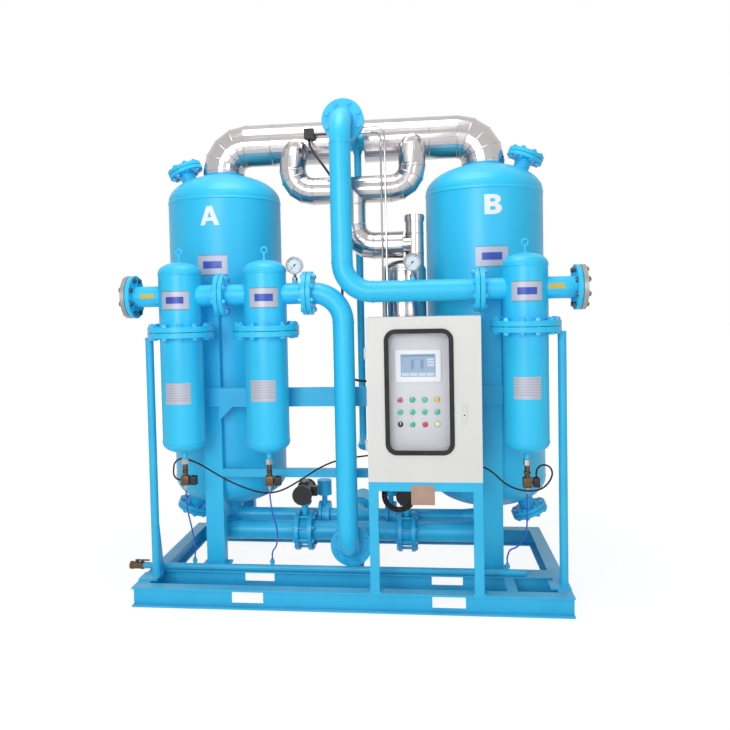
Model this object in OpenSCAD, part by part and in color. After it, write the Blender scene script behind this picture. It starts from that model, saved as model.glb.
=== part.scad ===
// Twin tower desiccant air dryer on a steel skid, with three line filters,
// switching valves, a purge heater and a control cabinet.
// Millimetres, +Z up. The origin is on the ground under the middle of the skid,
// -Y is the side with the filters and the cabinet.

/* [Skid] */
// Length of the skid frame
skid_l = 2200; // [2160:1:2300]
// Depth of the skid frame
skid_w = 1120; // [1110:1:1200]
// Height of the frame beams
beam_h = 100; // [90:1:120]
// Flange width of the outer beams
beam_w = 68; // [60:1:80]
// Flange width of the middle beam
mid_beam_w = 110; // [100:1:118]
// Centre line of the middle beam
mid_beam_y = -245; // [-248:1:-240]
// Web thickness of the beams
beam_web = 6; // [4:0.5:10]
// Flange thickness of the beams
beam_t = 8; // [6:0.5:12]
// Width of a fork pocket
pocket_w = 162; // [120:1:200]
// Height of a fork pocket
pocket_h = 56; // [40:1:64]
// Distance of a fork pocket from the middle
pocket_x = 504; // [420:1:560]

/* [Towers] */
// Outside diameter of a tower
tower_d = 650; // [640:1:660]
// Wall thickness of a tower
tower_wall = 8; // [6:0.5:14]
// Distance of a tower axis from the middle
tower_x = 750; // [740:1:770]
// Distance of the tower axes behind the middle
tower_y = 150; // [145:1:160]
// Height of the lower head seam
tower_low = 530; // [520:1:545]
// Height of the upper head seam
tower_high = 2130; // [2110:1:2145]
// Width of a tower leg
leg_w = 100; // [80:1:120]
// Height of the top of a tower leg
leg_top = 1525; // [1300:1:1700]
// Plate thickness of a tower leg
leg_t = 8; // [6:0.5:12]

/* [Line filters] */
// Distance of the filter row from the middle
filter_y = -414; // [-420:1:-412]
// Body diameter of a filter
filter_d = 219; // [200:1:225]
// Wall thickness of a filter
filter_wall = 6; // [4:0.5:10]
// Diameter of a filter body flange
body_flange_d = 340; // [336:1:350]
// Thickness of a filter body flange
body_flange_t = 26; // [20:1:32]
// Bolt circle of a filter body flange
body_pcd = 295; // [290:1:300]
// Height of a filter body joint
joint_z = 1395; // [1380:1:1410]
// Height of the filter nozzles
nozzle_z = 1580; // [1565:1:1600]
// Height of the top seam of a filter
filter_high = 1700; // [1690:1:1720]
// Height of the bottom seam of a filter
filter_low = 822; // [800:1:850]
// Reach of a filter nozzle
nozzle_reach = 222; // [215:1:235]
// Reach of the inlet and outlet nozzles
end_reach = 256; // [240:1:275]

/* [Pipework] */
// Outside diameter of the air pipes
pipe_d = 108; // [106:0.5:112]
// Wall thickness of the air pipes
pipe_wall = 4; // [3:0.5:7]
// Bend radius of the air pipes
bend_r = 152; // [145:1:158]
// Diameter of a pipe flange
flange_d = 220; // [215:1:226]
// Thickness of a pipe flange
flange_t = 22; // [18:1:26]
// Bolt circle of a pipe flange
flange_pcd = 180; // [176:1:184]
// Thickness of every gasket
gasket_t = 3; // [2:0.5:4]
// Height of the inlet manifold
manifold_z = 235; // [230:1:245]
// Distance of the inlet manifold behind the middle
manifold_y = 5; // [0:1:8]
// Distance of a switching valve from the middle
valve_x = 290; // [270:1:320]
// Face to face width of a switching valve
valve_l = 52; // [46:1:60]
// Height of the exhaust manifold
exhaust_z = 285; // [282:1:292]
// Diameter of the exhaust manifold
exhaust_d = 76; // [66:1:84]
// Height of the delivery pipe's top flange
delivery_z = 2480; // [2465:1:2500]
// Height of the insulated top header
header_z = 2455; // [2445:1:2465]
// Diameter of the metal cladding
clad_d = 238; // [228:1:242]
// Diameter of the cladding on a tower top
clad_top_d = 240; // [230:1:244]
// Diameter of the purge loop's cladding
loop_d = 146; // [132:1:150]

/* [Purge heater] */
// Diameter of the heater
heater_d = 240; // [210:1:260]
// Distance of the heater axis to the right
heater_x = 300; // [290:1:310]
// Height of the heater's lower end
heater_low = 640; // [625:1:680]
// Height of the heater's shoulder
heater_high = 1700; // [1680:1:1715]

/* [Cabinet] */
// Width of the cabinet
cab_w = 550; // [530:1:570]
// Height of the cabinet
cab_h = 800; // [780:1:830]
// Depth of the cabinet behind its door
cab_d = 230; // [200:1:240]
// Distance of the cabinet's centre to the right
cab_x = 398; // [390:1:405]
// Height of the cabinet's underside
cab_z = 652; // [640:1:665]
// Sheet thickness of the cabinet
sheet = 2; // [1.5:0.5:3]
// Depth of the door pan
door_t = 20; // [18:1:26]
// Width of the door window
window_w = 300; // [280:1:320]
// Height of the door window
window_h = 578; // [550:1:600]
// Distance between the pilot lamps
lamp_pitch = 60; // [50:1:66]
// Width of the stand's tubes
stand_w = 45; // [38:1:50]

/* [Small parts] */
// Diameter of a pressure gauge
gauge_d = 90; // [80:1:100]
// Diameter of the drain header
drain_d = 34; // [28:1:40]
// Diameter of a filter post
post_d = 42; // [36:1:48]
// Running clearance of pins and stems
fit = 0.08; // [0.05:0.01:0.1]
// Clearance between pieces that pass each other
gap = 0.3; // [0.2:0.05:0.5]
// Diameter of the drain cables
cable_d = 9; // [7:1:11]
// Diameter of the dew point sensor's lead
lead_d = 14; // [9:1:16]
// Diameter of the drain tubes
tube_d = 8; // [6:1:10]

/* [Hidden] */
$fn = 64;
paint = [0.16, 0.68, 0.93];
bright_steel = [0.78, 0.79, 0.80];
grey_paint = [0.86, 0.85, 0.83];
dark = [0.10, 0.10, 0.11];
brass = [0.72, 0.55, 0.28];
tube_blue = [0.15, 0.25, 0.75];

// Pipe sizes
pipe_r = pipe_d / 2;
bore_r = pipe_r - pipe_wall;
bead_h = 2.5;
bead_w = 7;
hole_r = 9;
bolt_r = 8;
bolt_count = 8;
body_hole_r = 11;
body_bolt_r = 10;
body_bolt_count = 12;
gasket_clear = 3.5;

// Filter row, worked out from the feed pipe's bend at x = 0
feed_face = -bend_r - flange_t - gasket_t;
f2_x = feed_face - nozzle_reach;
f1_x = f2_x - 2 * nozzle_reach - gasket_t;
delivery_run = 501;
f3_x = bend_r + delivery_run + flange_t + gasket_t + nozzle_reach;
filter_x = [f1_x, f2_x, f3_x];
left_reach = [end_reach, nozzle_reach, nozzle_reach];
right_reach = [nozzle_reach, nozzle_reach, end_reach];
filter_r = filter_d / 2;
dome_h = filter_r / 2;
joint_y = filter_y + bend_r + flange_t + gasket_t / 2;
post_x = body_flange_d / 2 + 3;
post_gusset = 104;
plate_z = joint_z + 35;
element_r = 75;
spigot_r = 40;
drain_stub_z = filter_low - dome_h - 32;
drain_union_h = 30;
drain_body_top = 90;
drain_body_low = 140;
drain_nut_low = 158;
drain_barb_low = 170;

// Tower sizes
tower_r = tower_d / 2;
head_h = tower_r / 2;
hand_r = 205;
hand_tilt = 22;
hand_reach = 80;
hand_d = 200;
hand_t = 20;
hand_pcd = 160;
hand_neck_r = 44.5;
top_seat_z = tower_high + head_h + 1;
clad_collar = 15;
drum_r = 60;
drum_top = tower_low - head_h - 10;
drum_low = manifold_z - 62;
leg_depth = 50;
leg_front = tower_y - tower_r - leg_depth - 4;
leg_back = tower_y + tower_r + leg_depth + 4;
foot_t = 12;
tie_top = 1083;
tie_h = 100;
tie_d = 40;
low_tie_z = 594;
low_tie_h = 44;

// Heater and header sizes
heater_y = -30;
heater_r = heater_d / 2;
clad_r = clad_d / 2;
loop_tube_r = loop_d / 2;
tee_half = 85;
loop_y = -60;
loop_z = 2146;
loop_x = 328;
loop_r = 115;
drop_x = 25;
drop_z = 1840;
neck_r = 50;
neck_x = heater_x + 60;
neck_top = 2003;
purge_z = 720;
branch_tilt = atan2(delivery_z - header_z, tower_y - (joint_y + gasket_t / 2 + flange_t / 2));

// Cabinet places
cab_left = cab_x - cab_w / 2;
door_y = -562;
box_y = door_y + door_t + gap;
cab_back = box_y + cab_d;
cab_mid_z = cab_z + cab_h / 2;
window_x = cab_x - 22;
window_z = cab_z + 437;
panel_y = box_y + 42;
lamp_x = cab_x - 116;
lamp_z = cab_z + 393;
latch_x = cab_x + 191;
latch_z = cab_z + 303;
gasket_lip = 16;
hinge_r = 6;
hinge_pin_r = 2.5;
hinge_x = cab_left - hinge_r - gap;
hinge_y = box_y - gap / 2;
hinge_inset = 175;
knuckle_h = 18;
leaf_t = 3;
gasket_in = 6;

// Gauges, actuators and drains
gauge_r = gauge_d / 2;
gauge_z = nozzle_z + pipe_r + 87;
gauge_x = [f2_x + 157, 352];
boss_h = 12;
dial_depth = 12;
actuator_z = manifold_z + 222;
actuator_r = 55;
stem_r = 8;
disc_r = bore_r - gap;
indicator_z = actuator_z + actuator_r + gap;
header_y = mid_beam_y - mid_beam_w / 2 + 15;
header_pipe_z = beam_h + drain_d / 2 + gap;
nipple_x = [f1_x - 5, f2_x - 25, 812];
nipple_top = header_pipe_z + 48;
barb_z = drain_stub_z - drain_barb_low;
valve_end_x = -skid_l / 2 - 40;
lever_z = header_pipe_z + 26;

// Routes of the cables and tubes
left_cable_route = [[-868.5, -414, 622], [-888, -412, 628], [-906, -405, 652], [-910, -396, 692], [-885, -386, 722],
    [-835, -378, 725], [-770, -374, 690], [-690, -372, 640], [-600, -372, 595], [-500, -372, 558],
    [-420, -372, 545], [-340, -370, 562], [-250, -362, 610], [-160, -345, 665], [-80, -320, 700],
    [0, -292, 712], [70, -274, 716], [130, -266, 722], [168, -270, 726], [186, -284, 727],
    [188, -298, 727], [188, cab_back + gap, 727]];
right_cable_route = [[cab_left + cab_w + gap, -400, 690], [700, -401, 687], [738, -407, 662],
    [778, -418, 626], [822, -432, 600], [872, -443, 587], [925, -446, 587], [975, -440, 604],
    [1005, -428, 634], [1016, -418, 668], [1006, -414, 694], [980, -414, 706], [955, -414, 696],
    [944, -414, 670], [944, -414, 643.6]];
coil_y = -440;
coil_r = 72;
coil_tube_r = 24;
left_drop_route = [[f1_x, filter_y, barb_z], [f1_x, filter_y + 2, barb_z - 40],
    [f1_x + 4, filter_y + 12, barb_z - 120], [f1_x + 12, filter_y + 45, barb_z - 220],
    [f1_x + 8, filter_y + 90, barb_z - 310], [f1_x - 2, header_y, nipple_top + 40],
    [nipple_x[0], header_y, nipple_top]];
mid_drop_route = [[f2_x, filter_y, barb_z], [f2_x, filter_y + 2, barb_z - 40],
    [f2_x + 8, filter_y + 14, barb_z - 120], [f2_x + 22, filter_y + 48, barb_z - 220],
    [f2_x + 8, filter_y + 92, barb_z - 310], [f2_x - 22, header_y, nipple_top + 40],
    [nipple_x[1], header_y, nipple_top]];
right_drop_route = [[f3_x, filter_y, barb_z], [f3_x, filter_y + 2, barb_z - 40],
    [f3_x, filter_y + 16, barb_z - 130], [f3_x - 6, filter_y + 50, barb_z - 230],
    [f3_x - 40, filter_y + 96, barb_z - 300], [nipple_x[2] + 14, header_y - 3, nipple_top + 70],
    [nipple_x[2], header_y, nipple_top + 30], [nipple_x[2], header_y, nipple_top]];
tube_out = 70;
tube_y = [-10, -110];
probe_y = -20;
function branch_z(y) = header_z + (tower_y - y) * tan(branch_tilt);
high_z = branch_z(tube_y[0]);
low_z = branch_z(tube_y[1]);
probe_z = branch_z(probe_y);
high_tube_route = [[tube_out, tube_y[0], high_z], [130, -14, high_z], [165, -36, high_z - 8],
    [182, -75, high_z - 25], [189, -120, high_z - 60], [190, -150, high_z - 110],
    [190, -160, high_z - 180], [190, -160, 1270], [190, -164, 1238], [190, -182, 1218],
    [190, -215, 1210], [190, cab_back, 1210]];
low_tube_route = [[tube_out, tube_y[1], low_z], [150, -114, low_z], [188, -128, low_z - 7],
    [206, -145, low_z - 32], [212, -157, low_z - 77], [212, -160, low_z - 140], [212, -160, 1240],
    [212, -166, 1208], [212, -186, 1188], [212, -218, 1180], [212, cab_back, 1180]];
sensor_cable_route = [[-216, probe_y, probe_z - 18], [-210, -28, probe_z - 60],
    [-175, -62, probe_z - 120], [-125, -110, probe_z - 190], [-75, -148, probe_z - 265],
    [-42, -160, probe_z - 335], [-30, -162, probe_z - 410], [-30, -162, 1200], [-26, -165, 1164],
    [-10, -174, 1134], [20, -191, 1118], [60, -214.5, 1112], [111.8, -246, 1112], [127.3, -260, 1112],
    [136.7, -277.5, 1112], [140, -297, 1112], [140, cab_back + gap, 1112]];

// Swept tubes: one ring of points per route point, square to the route
function unit(v) = v / norm(v);
function heading(p, i) =
    let (last = len(p) - 1)
    unit(i == 0 ? p[1] - p[0] : i == last ? p[last] - p[last - 1]
        : unit(p[i] - p[i - 1]) + unit(p[i + 1] - p[i]));
function side_of(t, up) = unit(cross(abs(t * up) > 0.9 ? [up[1], up[2], up[0]] : up, t));
function carried(p, i, up) =
    i == 0 ? side_of(heading(p, 0), up)
    : let (t = heading(p, i), s = carried(p, i - 1, up)) unit(s - (s * t) * t);
function ring(c, t, s, r, n) =
    [for (k = [0 : n - 1]) c + r * (cos(360 * k / n) * s + sin(360 * k / n) * cross(t, s))];

module swept(p, radii, n, up = [0, 0, 1]) {
    m = len(p);
    pts = [for (i = [0 : m - 1])
        each ring(p[i], heading(p, i), carried(p, i, up), radii[i], n)];
    sides = [for (i = [0 : m - 2], k = [0 : n - 1])
        let (a = i * n + k, b = i * n + (k + 1) % n) each [[a, b, b + n], [a, b + n, a + n]]];
    polyhedron(pts, concat([[for (k = [0 : n - 1]) k]], [for (f = sides) [f[2], f[1], f[0]]],
        [[for (k = [n - 1 : -1 : 0]) (m - 1) * n + k]]), convexity = 6);
}

module cord(p, d, n) {
    swept(p, [for (q = p) d / 2], n);
}

// A rod between two points
module rod(a, b, r) {
    v = b - a;
    translate(a)
        rotate([0, acos(v[2] / norm(v)), atan2(v[1], v[0])])
            cylinder(r = r, h = norm(v));
}

// A quarter bend that starts at the origin along +X and leaves along +Z
module bend(r, rad) {
    translate([0, 0, rad])
        rotate([90, 0, 0])
            translate([0, 0, 0])
                rotate([0, 0, -90])
                    rotate_extrude(angle = 90)
                        translate([rad, 0])
                            circle(r = r);
}

// Half outline of a vessel of revolution with shallow elliptical heads and weld beads at its seams
head_steps = 14;
function head_arc(r, h, z, up) =
    [for (i = [0 : head_steps]) let (a = up ? 90 * i / head_steps : 90 - 90 * i / head_steps)
        [r * cos(a), z + (up ? h : -h) * sin(a)]];
function bead_at(r, z) = [[r, z - bead_w], [r + bead_h, z - bead_w / 3],
    [r + bead_h, z + bead_w / 3], [r, z + bead_w]];

// A pipe flange on +Z from z = 0, with its bolt holes
module flange_disc(d, t, pcd, n, hr) {
    difference() {
        cylinder(d = d, h = t);
        for (k = [0 : n - 1])
            rotate([0, 0, 360 * (k + 0.5) / n])
                translate([pcd / 2, 0, -1])
                    cylinder(r = hr, h = t + 2, $fn = 32);
    }
}
module pipe_flange() {
    flange_disc(flange_d, flange_t, flange_pcd, bolt_count, hole_r);
}

// Turn +Z to +X, -X, +Y or -Y
module to_px() { rotate([0, 90, 0]) children(); }
module to_mx() { rotate([0, -90, 0]) children(); }
module to_py() { rotate([-90, 0, 0]) children(); }
module to_my() { rotate([90, 0, 0]) children(); }

// Skid
module i_beam(length, w) {
    rotate([90, 0, 90])
        linear_extrude(length, center = true)
            difference() {
                translate([-w / 2, 0])
                    square([w, beam_h]);
                for (s = [-1, 1])
                    translate([s * (w + beam_web) / 4 - (w - beam_web) / 4 * 1, beam_t])
                        translate([s > 0 ? 0.001 : -0.001, 0])
                            square([(w - beam_web) / 2, beam_h - 2 * beam_t]);
            }
}
module skid_frame() {
    edge_y = skid_w / 2 - beam_w / 2;
    edge_x = skid_l / 2 - beam_w / 2;
    bar_w = 50;
    bar_x = 815;
    bar_back = mid_beam_y - mid_beam_w / 2 + 2;
    color(paint)
        difference() {
            union() {
                for (y = [-edge_y, edge_y])
                    translate([0, y, 0])
                        i_beam(skid_l, beam_w);
                translate([0, mid_beam_y, 0])
                    i_beam(2 * edge_x, mid_beam_w);
                for (s = [-1, 1])
                    translate([s * edge_x, 0, 0])
                        rotate([0, 0, 90])
                            i_beam(2 * edge_y, beam_w);
                translate([0, (edge_y + mid_beam_y) / 2, 0])
                    rotate([0, 0, 90])
                        i_beam(edge_y - mid_beam_y, beam_w);
                translate([bar_x - bar_w / 2, -edge_y, beam_h - beam_t])
                    cube([bar_w, bar_back + edge_y, beam_t]);
            }
            for (s = [-1, 1])
                translate([s * pocket_x - pocket_w / 2, -skid_w / 2 - 1, (beam_h - pocket_h) / 2])
                    cube([pocket_w, skid_w + 2, pocket_h]);
        }
}

module tie_beams() {
    reach = tower_x + leg_w / 2;
    gusset = 75;
    inner = tower_x - leg_w / 2 - gap;
    color(paint) {
        difference() {
            translate([-reach, leg_front - tie_d - gap, tie_top - tie_h])
                cube([2 * reach, tie_d, tie_h]);
            translate([-reach - 1, leg_front - tie_d - gap + leg_t, tie_top - tie_h + leg_t])
                cube([2 * reach + 2, tie_d, tie_h - 2 * leg_t]);
        }
        for (s = [-1, 1])
            translate([s * inner, leg_front - tie_d - gap, tie_top - tie_h])
                rotate([-90, 0, 0])
                    linear_extrude(leg_t)
                        polygon([[0, 0], [-s * gusset, 0], [0, gusset]]);
        translate([-inner, leg_front, low_tie_z])
            cube([2 * inner, tie_d, low_tie_h]);
    }
}

module filter_posts() {
    foot = 100;
    plate_t = 10;
    lug_t = 8;
    lug_w = 36;
    gusset_l = post_gusset - post_d / 2;
    gusset_h = 410;
    lug_z = joint_z - gasket_t / 2 - body_flange_t - lug_t;
    color(paint)
        for (s = [-1, 1]) {
            x = s < 0 ? f1_x - post_x : f3_x + post_x;
            translate([x, filter_y, beam_h])
                cylinder(d = post_d, h = lug_z - beam_h);
            translate([s * (skid_l - foot) / 2 - foot / 2, filter_y - foot / 2, beam_h])
                cube([foot, foot, plate_t]);
            translate([x - lug_w / 2, filter_y - lug_w / 2, lug_z])
                cube([lug_w, lug_w, lug_t]);
            translate([x - lug_t / 2, filter_y, beam_h])
                rotate([90, 0, 90])
                    linear_extrude(lug_t)
                        polygon([[0, 0], [post_d / 2 + gusset_l, 0], [post_d / 2, gusset_h],
                            [0, gusset_h]]);
        }
}

// Towers
module tower_outer() {
    rotate_extrude()
        polygon(concat([[0, tower_low]], [[0, tower_low - head_h]],
            [for (p = head_arc(tower_r, head_h, tower_low, false)) if (p[0] > 0.01) p],
            bead_at(tower_r, tower_low + bead_w + 1), bead_at(tower_r, tower_high - bead_w - 1),
            [for (p = head_arc(tower_r, head_h, tower_high, true)) if (p[0] > 0.01) p],
            [[0, tower_high + head_h]]));
}
module tower_inner() {
    r = tower_r - tower_wall;
    h = head_h - tower_wall;
    rotate_extrude()
        polygon(concat([[0, tower_low - h]],
            [for (p = head_arc(r, h, tower_low, false)) if (p[0] > 0.01) p],
            [for (p = head_arc(r, h, tower_high, true)) if (p[0] > 0.01) p],
            [[0, tower_high + h]]));
}
// Places a child on a handhole neck of the tower on side s, with +Z along the neck
module at_handhole(s, top) {
    rise = head_h * sqrt(1 - pow(hand_r / tower_r, 2));
    translate([s * (tower_x + hand_r), tower_y, top ? tower_high + rise : tower_low - rise])
        rotate([0, top ? s * hand_tilt : 180 - s * hand_tilt, 0])
            children();
}
module leg(s, front) {
    y0 = front ? leg_front : tower_y + tower_r - 6;
    web_y = front ? leg_front : leg_back - leg_t;
    translate([s * tower_x, 0, beam_h]) {
        translate([-leg_w / 2, web_y, 0])
            cube([leg_w, leg_t, leg_top - beam_h]);
        for (side = [-1, 1])
            translate([side * (leg_w - leg_t) / 2 - leg_t / 2, y0, 0])
                cube([leg_t, leg_depth + 10, leg_top - beam_h]);
        translate([-leg_w / 2 - 25, front ? leg_front - 15 : leg_back - leg_depth - 25, 0])
            cube([leg_w + 50, leg_depth + 40, foot_t]);
    }
}
module tower(s) {
    neck_top_z = hand_reach - gasket_t / 2 - hand_t;
    color(paint)
        difference() {
            union() {
                translate([s * tower_x, tower_y, 0])
                    tower_outer();
                leg(s, true);
                leg(s, false);
                translate([s * tower_x, tower_y, tower_high + head_h - 30])
                    cylinder(r = clad_top_d / 2 - 4, h = top_seat_z - tower_high - head_h + 30);
                translate([s * tower_x, tower_y, drum_top])
                    cylinder(r = drum_r, h = 40);
                for (top = [false, true])
                    at_handhole(s, top) {
                        translate([0, 0, -30])
                            cylinder(r = hand_neck_r, h = 30 + neck_top_z + 1);
                        translate([0, 0, neck_top_z])
                            flange_disc(hand_d, hand_t, hand_pcd, bolt_count, hole_r);
                    }
            }
            translate([s * tower_x, tower_y, 0])
                tower_inner();
            translate([s * tower_x, tower_y, drum_top - 1])
                cylinder(r = bore_r, h = 60);
            for (top = [false, true])
                at_handhole(s, top)
                    translate([0, 0, -32])
                        cylinder(r = hand_neck_r - 4.5, h = hand_reach + 40);
        }
}
module tower_a_vessel() { tower(-1); }
module tower_b_vessel() { tower(1); }

// The bead charge fills the straight part of each shell and settles on the lower head
module desiccant_beds() {
    r = tower_r - tower_wall - gap;
    h = head_h - tower_wall - gap;
    color("ivory")
        for (s = [-1, 1])
            translate([s * tower_x, tower_y, 0])
                rotate_extrude()
                    polygon(concat([[0, tower_high - 60]], [[0, tower_low - h * 0.55]],
                        [for (p = head_arc(r, h, tower_low, false)) if (p[1] > tower_low - h * 0.5) p],
                        [[r, tower_high - 60]]));
}

module handhole_covers() {
    color(paint)
        for (s = [-1, 1], top = [false, true])
            at_handhole(s, top)
                translate([0, 0, hand_reach + gasket_t / 2])
                    flange_disc(hand_d, hand_t, hand_pcd, bolt_count, hole_r);
}

// Line filters
module body_flange() {
    flange_disc(body_flange_d, body_flange_t, body_pcd, body_bolt_count, body_hole_r);
}
module lifting_eye() {
    ring_r = 15;
    wire_r = 5;
    cylinder(r = 9, h = 16);
    translate([0, 0, 16])
        cylinder(r = 6, h = 22);
    translate([0, 0, 38 + ring_r])
        rotate([90, 0, 0])
            rotate_extrude()
                translate([ring_r, 0])
                    circle(r = wire_r, $fn = 24);
}
module filter_head(i) {
    low = joint_z + gasket_t / 2;
    r_in = filter_r - filter_wall;
    h_in = dome_h - filter_wall;
    color(paint)
        translate([filter_x[i], filter_y, 0])
            difference() {
                union() {
                    rotate_extrude()
                        polygon(concat([[0, low]], [[filter_r, low]],
                            bead_at(filter_r, filter_high - bead_w - 1),
                            [for (p = head_arc(filter_r, dome_h, filter_high, true))
                                if (p[0] > 0.01) p], [[0, filter_high + dome_h]]));
                    translate([0, 0, low])
                        body_flange();
                    translate([0, 0, nozzle_z]) {
                        to_mx() {
                            cylinder(r = pipe_r, h = left_reach[i]);
                            translate([0, 0, left_reach[i] - flange_t])
                                pipe_flange();
                        }
                        to_px() {
                            cylinder(r = pipe_r, h = right_reach[i]);
                            translate([0, 0, right_reach[i] - flange_t])
                                pipe_flange();
                        }
                    }
                    translate([0, 0, filter_high + dome_h - 4])
                        lifting_eye();
                    if (i == 1)
                        translate([gauge_x[0] - f2_x, 0, nozzle_z])
                            cylinder(r = 14, h = pipe_r + boss_h);
                }
                difference() {
                    rotate_extrude()
                        polygon(concat([[0, low - 1]], [[r_in, low - 1]],
                            [for (p = head_arc(r_in, h_in, filter_high, true)) if (p[0] > 0.01) p],
                            [[0, filter_high + h_in]]));
                    translate([0, 0, plate_z])
                        difference() {
                            cylinder(r = filter_r, h = 8);
                            translate([0, 0, -1])
                                cylinder(r = spigot_r, h = 10);
                        }
                }
                translate([-left_reach[i] - 1, 0, nozzle_z])
                    to_px()
                        cylinder(r = bore_r, h = left_reach[i] + right_reach[i] + 2);
            }
}
module filter_1_head() { filter_head(0); }
module filter_2_head() { filter_head(1); }
module filter_3_head() { filter_head(2); }

module filter_bowl(i) {
    high = joint_z - gasket_t / 2;
    r_in = filter_r - filter_wall;
    h_in = dome_h - filter_wall;
    color(paint)
        translate([filter_x[i], filter_y, 0])
            difference() {
                union() {
                    rotate_extrude()
                        polygon(concat([[0, high]], [[0, filter_low - dome_h]],
                            [for (p = head_arc(filter_r, dome_h, filter_low, false))
                                if (p[0] > 0.01) p],
                            bead_at(filter_r, filter_low + bead_w + 1), [[filter_r, high]]));
                    translate([0, 0, high - body_flange_t])
                        body_flange();
                    translate([0, 0, drain_stub_z])
                        cylinder(r = 13, h = 40);
                }
                rotate_extrude()
                    polygon(concat([[0, high + 1]], [[0, filter_low - h_in]],
                        [for (p = head_arc(r_in, h_in, filter_low, false)) if (p[0] > 0.01) p],
                        [[r_in, high + 1]]));
                translate([0, 0, drain_stub_z - 1])
                    cylinder(r = 8, h = 60);
            }
}
module filter_1_bowl() { filter_bowl(0); }
module filter_2_bowl() { filter_bowl(1); }
module filter_3_bowl() { filter_bowl(2); }

// Pleated cartridge: end caps, a fluted sleeve and a spigot up through the partition plate
module filter_elements() {
    cap_h = 14;
    length = 480;
    flutes = 24;
    color("ivory")
        for (x = filter_x)
            translate([x, filter_y, plate_z - length]) {
                cylinder(r = element_r, h = cap_h);
                difference() {
                    cylinder(r = element_r - 3, h = length);
                    for (k = [0 : flutes - 1])
                        rotate([0, 0, 360 * k / flutes])
                            translate([element_r - 3, 0, cap_h])
                                cylinder(r = 5, h = length - 2 * cap_h, $fn = 16);
                }
                translate([0, 0, length - cap_h])
                    cylinder(r = element_r, h = cap_h);
                translate([0, 0, length - 1])
                    cylinder(r = spigot_r - gap, h = 16);
            }
}

// Drain under each bowl: union, strainer, solenoid valve with its coil, hose barb
module drain_valves() {
    color(dark)
        for (x = filter_x)
            translate([x, filter_y, drain_stub_z]) {
                translate([0, 0, -drain_union_h])
                    cylinder(r = 19, h = drain_union_h, $fn = 6);
                translate([0, 0, -drain_body_top - 5])
                    cylinder(r = 13, h = drain_body_top - 20);
                translate([0, 0, -72])
                    cylinder(r = 17, h = 12, $fn = 6);
                translate([-22, -20, -drain_body_low])
                    cube([44, 40, drain_body_low - drain_body_top]);
                translate([20, 0, -(drain_body_top + drain_body_low) / 2 - 1])
                    to_px()
                        cylinder(r = 8, h = 10);
                translate([28, -19, -drain_body_low + 2])
                    cube([32, 38, drain_body_low - drain_body_top - 4]);
                translate([0, 0, -drain_nut_low])
                    cylinder(r = 9, h = drain_nut_low - drain_body_low + 4, $fn = 6);
                translate([0, 0, -drain_barb_low])
                    cylinder(r = tube_d / 2, h = 20, $fn = 24);
            }
}

module counter_flanges() {
    color(bright_steel)
        for (s = [-1, 1])
            translate([s < 0 ? f1_x - end_reach - gasket_t : f3_x + end_reach + gasket_t,
                    filter_y, nozzle_z])
                rotate([0, s * 90, 0])
                    difference() {
                        pipe_flange();
                        translate([0, 0, -1])
                            cylinder(r = pipe_r + 1, h = flange_t + 2);
                    }
}

// Main pipe runs: each is the same run at the outer and the bore radius
module weld_ring(r) {
    translate([0, 0, -bead_w / 2])
        cylinder(r = r + bead_h, h = bead_w);
}
module bends_down(r) {
    translate([-bend_r, filter_y, nozzle_z])
        mirror([0, 0, 1])
            bend(r, bend_r);
}
module feed_run(r, over) {
    translate([-bend_r - flange_t - over, filter_y, nozzle_z])
        to_px()
            cylinder(r = r, h = flange_t + over);
    bends_down(r);
    translate([0, filter_y, manifold_z + bend_r])
        cylinder(r = r, h = nozzle_z - manifold_z - 2 * bend_r);
    translate([0, filter_y + bend_r, manifold_z])
        rotate([0, 0, -90])
            bend(r, bend_r);
    translate([0, filter_y + bend_r, manifold_z])
        to_py()
            cylinder(r = r, h = flange_t + over);
}
module feed_pipe() {
    color(paint)
        difference() {
            union() {
                feed_run(pipe_r, 0);
                translate([-bend_r - flange_t, filter_y, nozzle_z])
                    to_px()
                        pipe_flange();
                translate([0, filter_y + bend_r, manifold_z])
                    to_py()
                        pipe_flange();
                for (z = [manifold_z + bend_r, nozzle_z - bend_r])
                    translate([0, filter_y, z])
                        weld_ring(pipe_r);
            }
            feed_run(bore_r, 1);
        }
}

module delivery_run(r, over) {
    end_x = f3_x - nozzle_reach - gasket_t;
    translate([0, filter_y + bend_r, delivery_z])
        rotate([0, 0, -90])
            mirror([0, 0, 1])
                bend(r, bend_r);
    translate([0, filter_y + bend_r, delivery_z])
        to_py()
            cylinder(r = r, h = flange_t + over);
    translate([0, filter_y, nozzle_z + bend_r])
        cylinder(r = r, h = delivery_z - nozzle_z - 2 * bend_r);
    translate([bend_r, filter_y, nozzle_z])
        mirror([1, 0, 0])
            bend(r, bend_r);
    translate([bend_r, filter_y, nozzle_z])
        to_px()
            cylinder(r = r, h = end_x - bend_r + over);
}
module delivery_pipe() {
    color(paint)
        difference() {
            union() {
                delivery_run(pipe_r, 0);
                translate([0, filter_y + bend_r, delivery_z])
                    to_py()
                        pipe_flange();
                translate([f3_x - nozzle_reach - gasket_t - flange_t, filter_y, nozzle_z])
                    to_px()
                        pipe_flange();
                for (z = [nozzle_z + bend_r, delivery_z - bend_r])
                    translate([0, filter_y, z])
                        weld_ring(pipe_r);
                translate([bend_r, filter_y, nozzle_z])
                    to_px()
                        weld_ring(pipe_r);
                translate([gauge_x[1], filter_y, nozzle_z])
                    cylinder(r = 14, h = pipe_r + boss_h);
            }
            delivery_run(bore_r, 1);
        }
}

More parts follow.
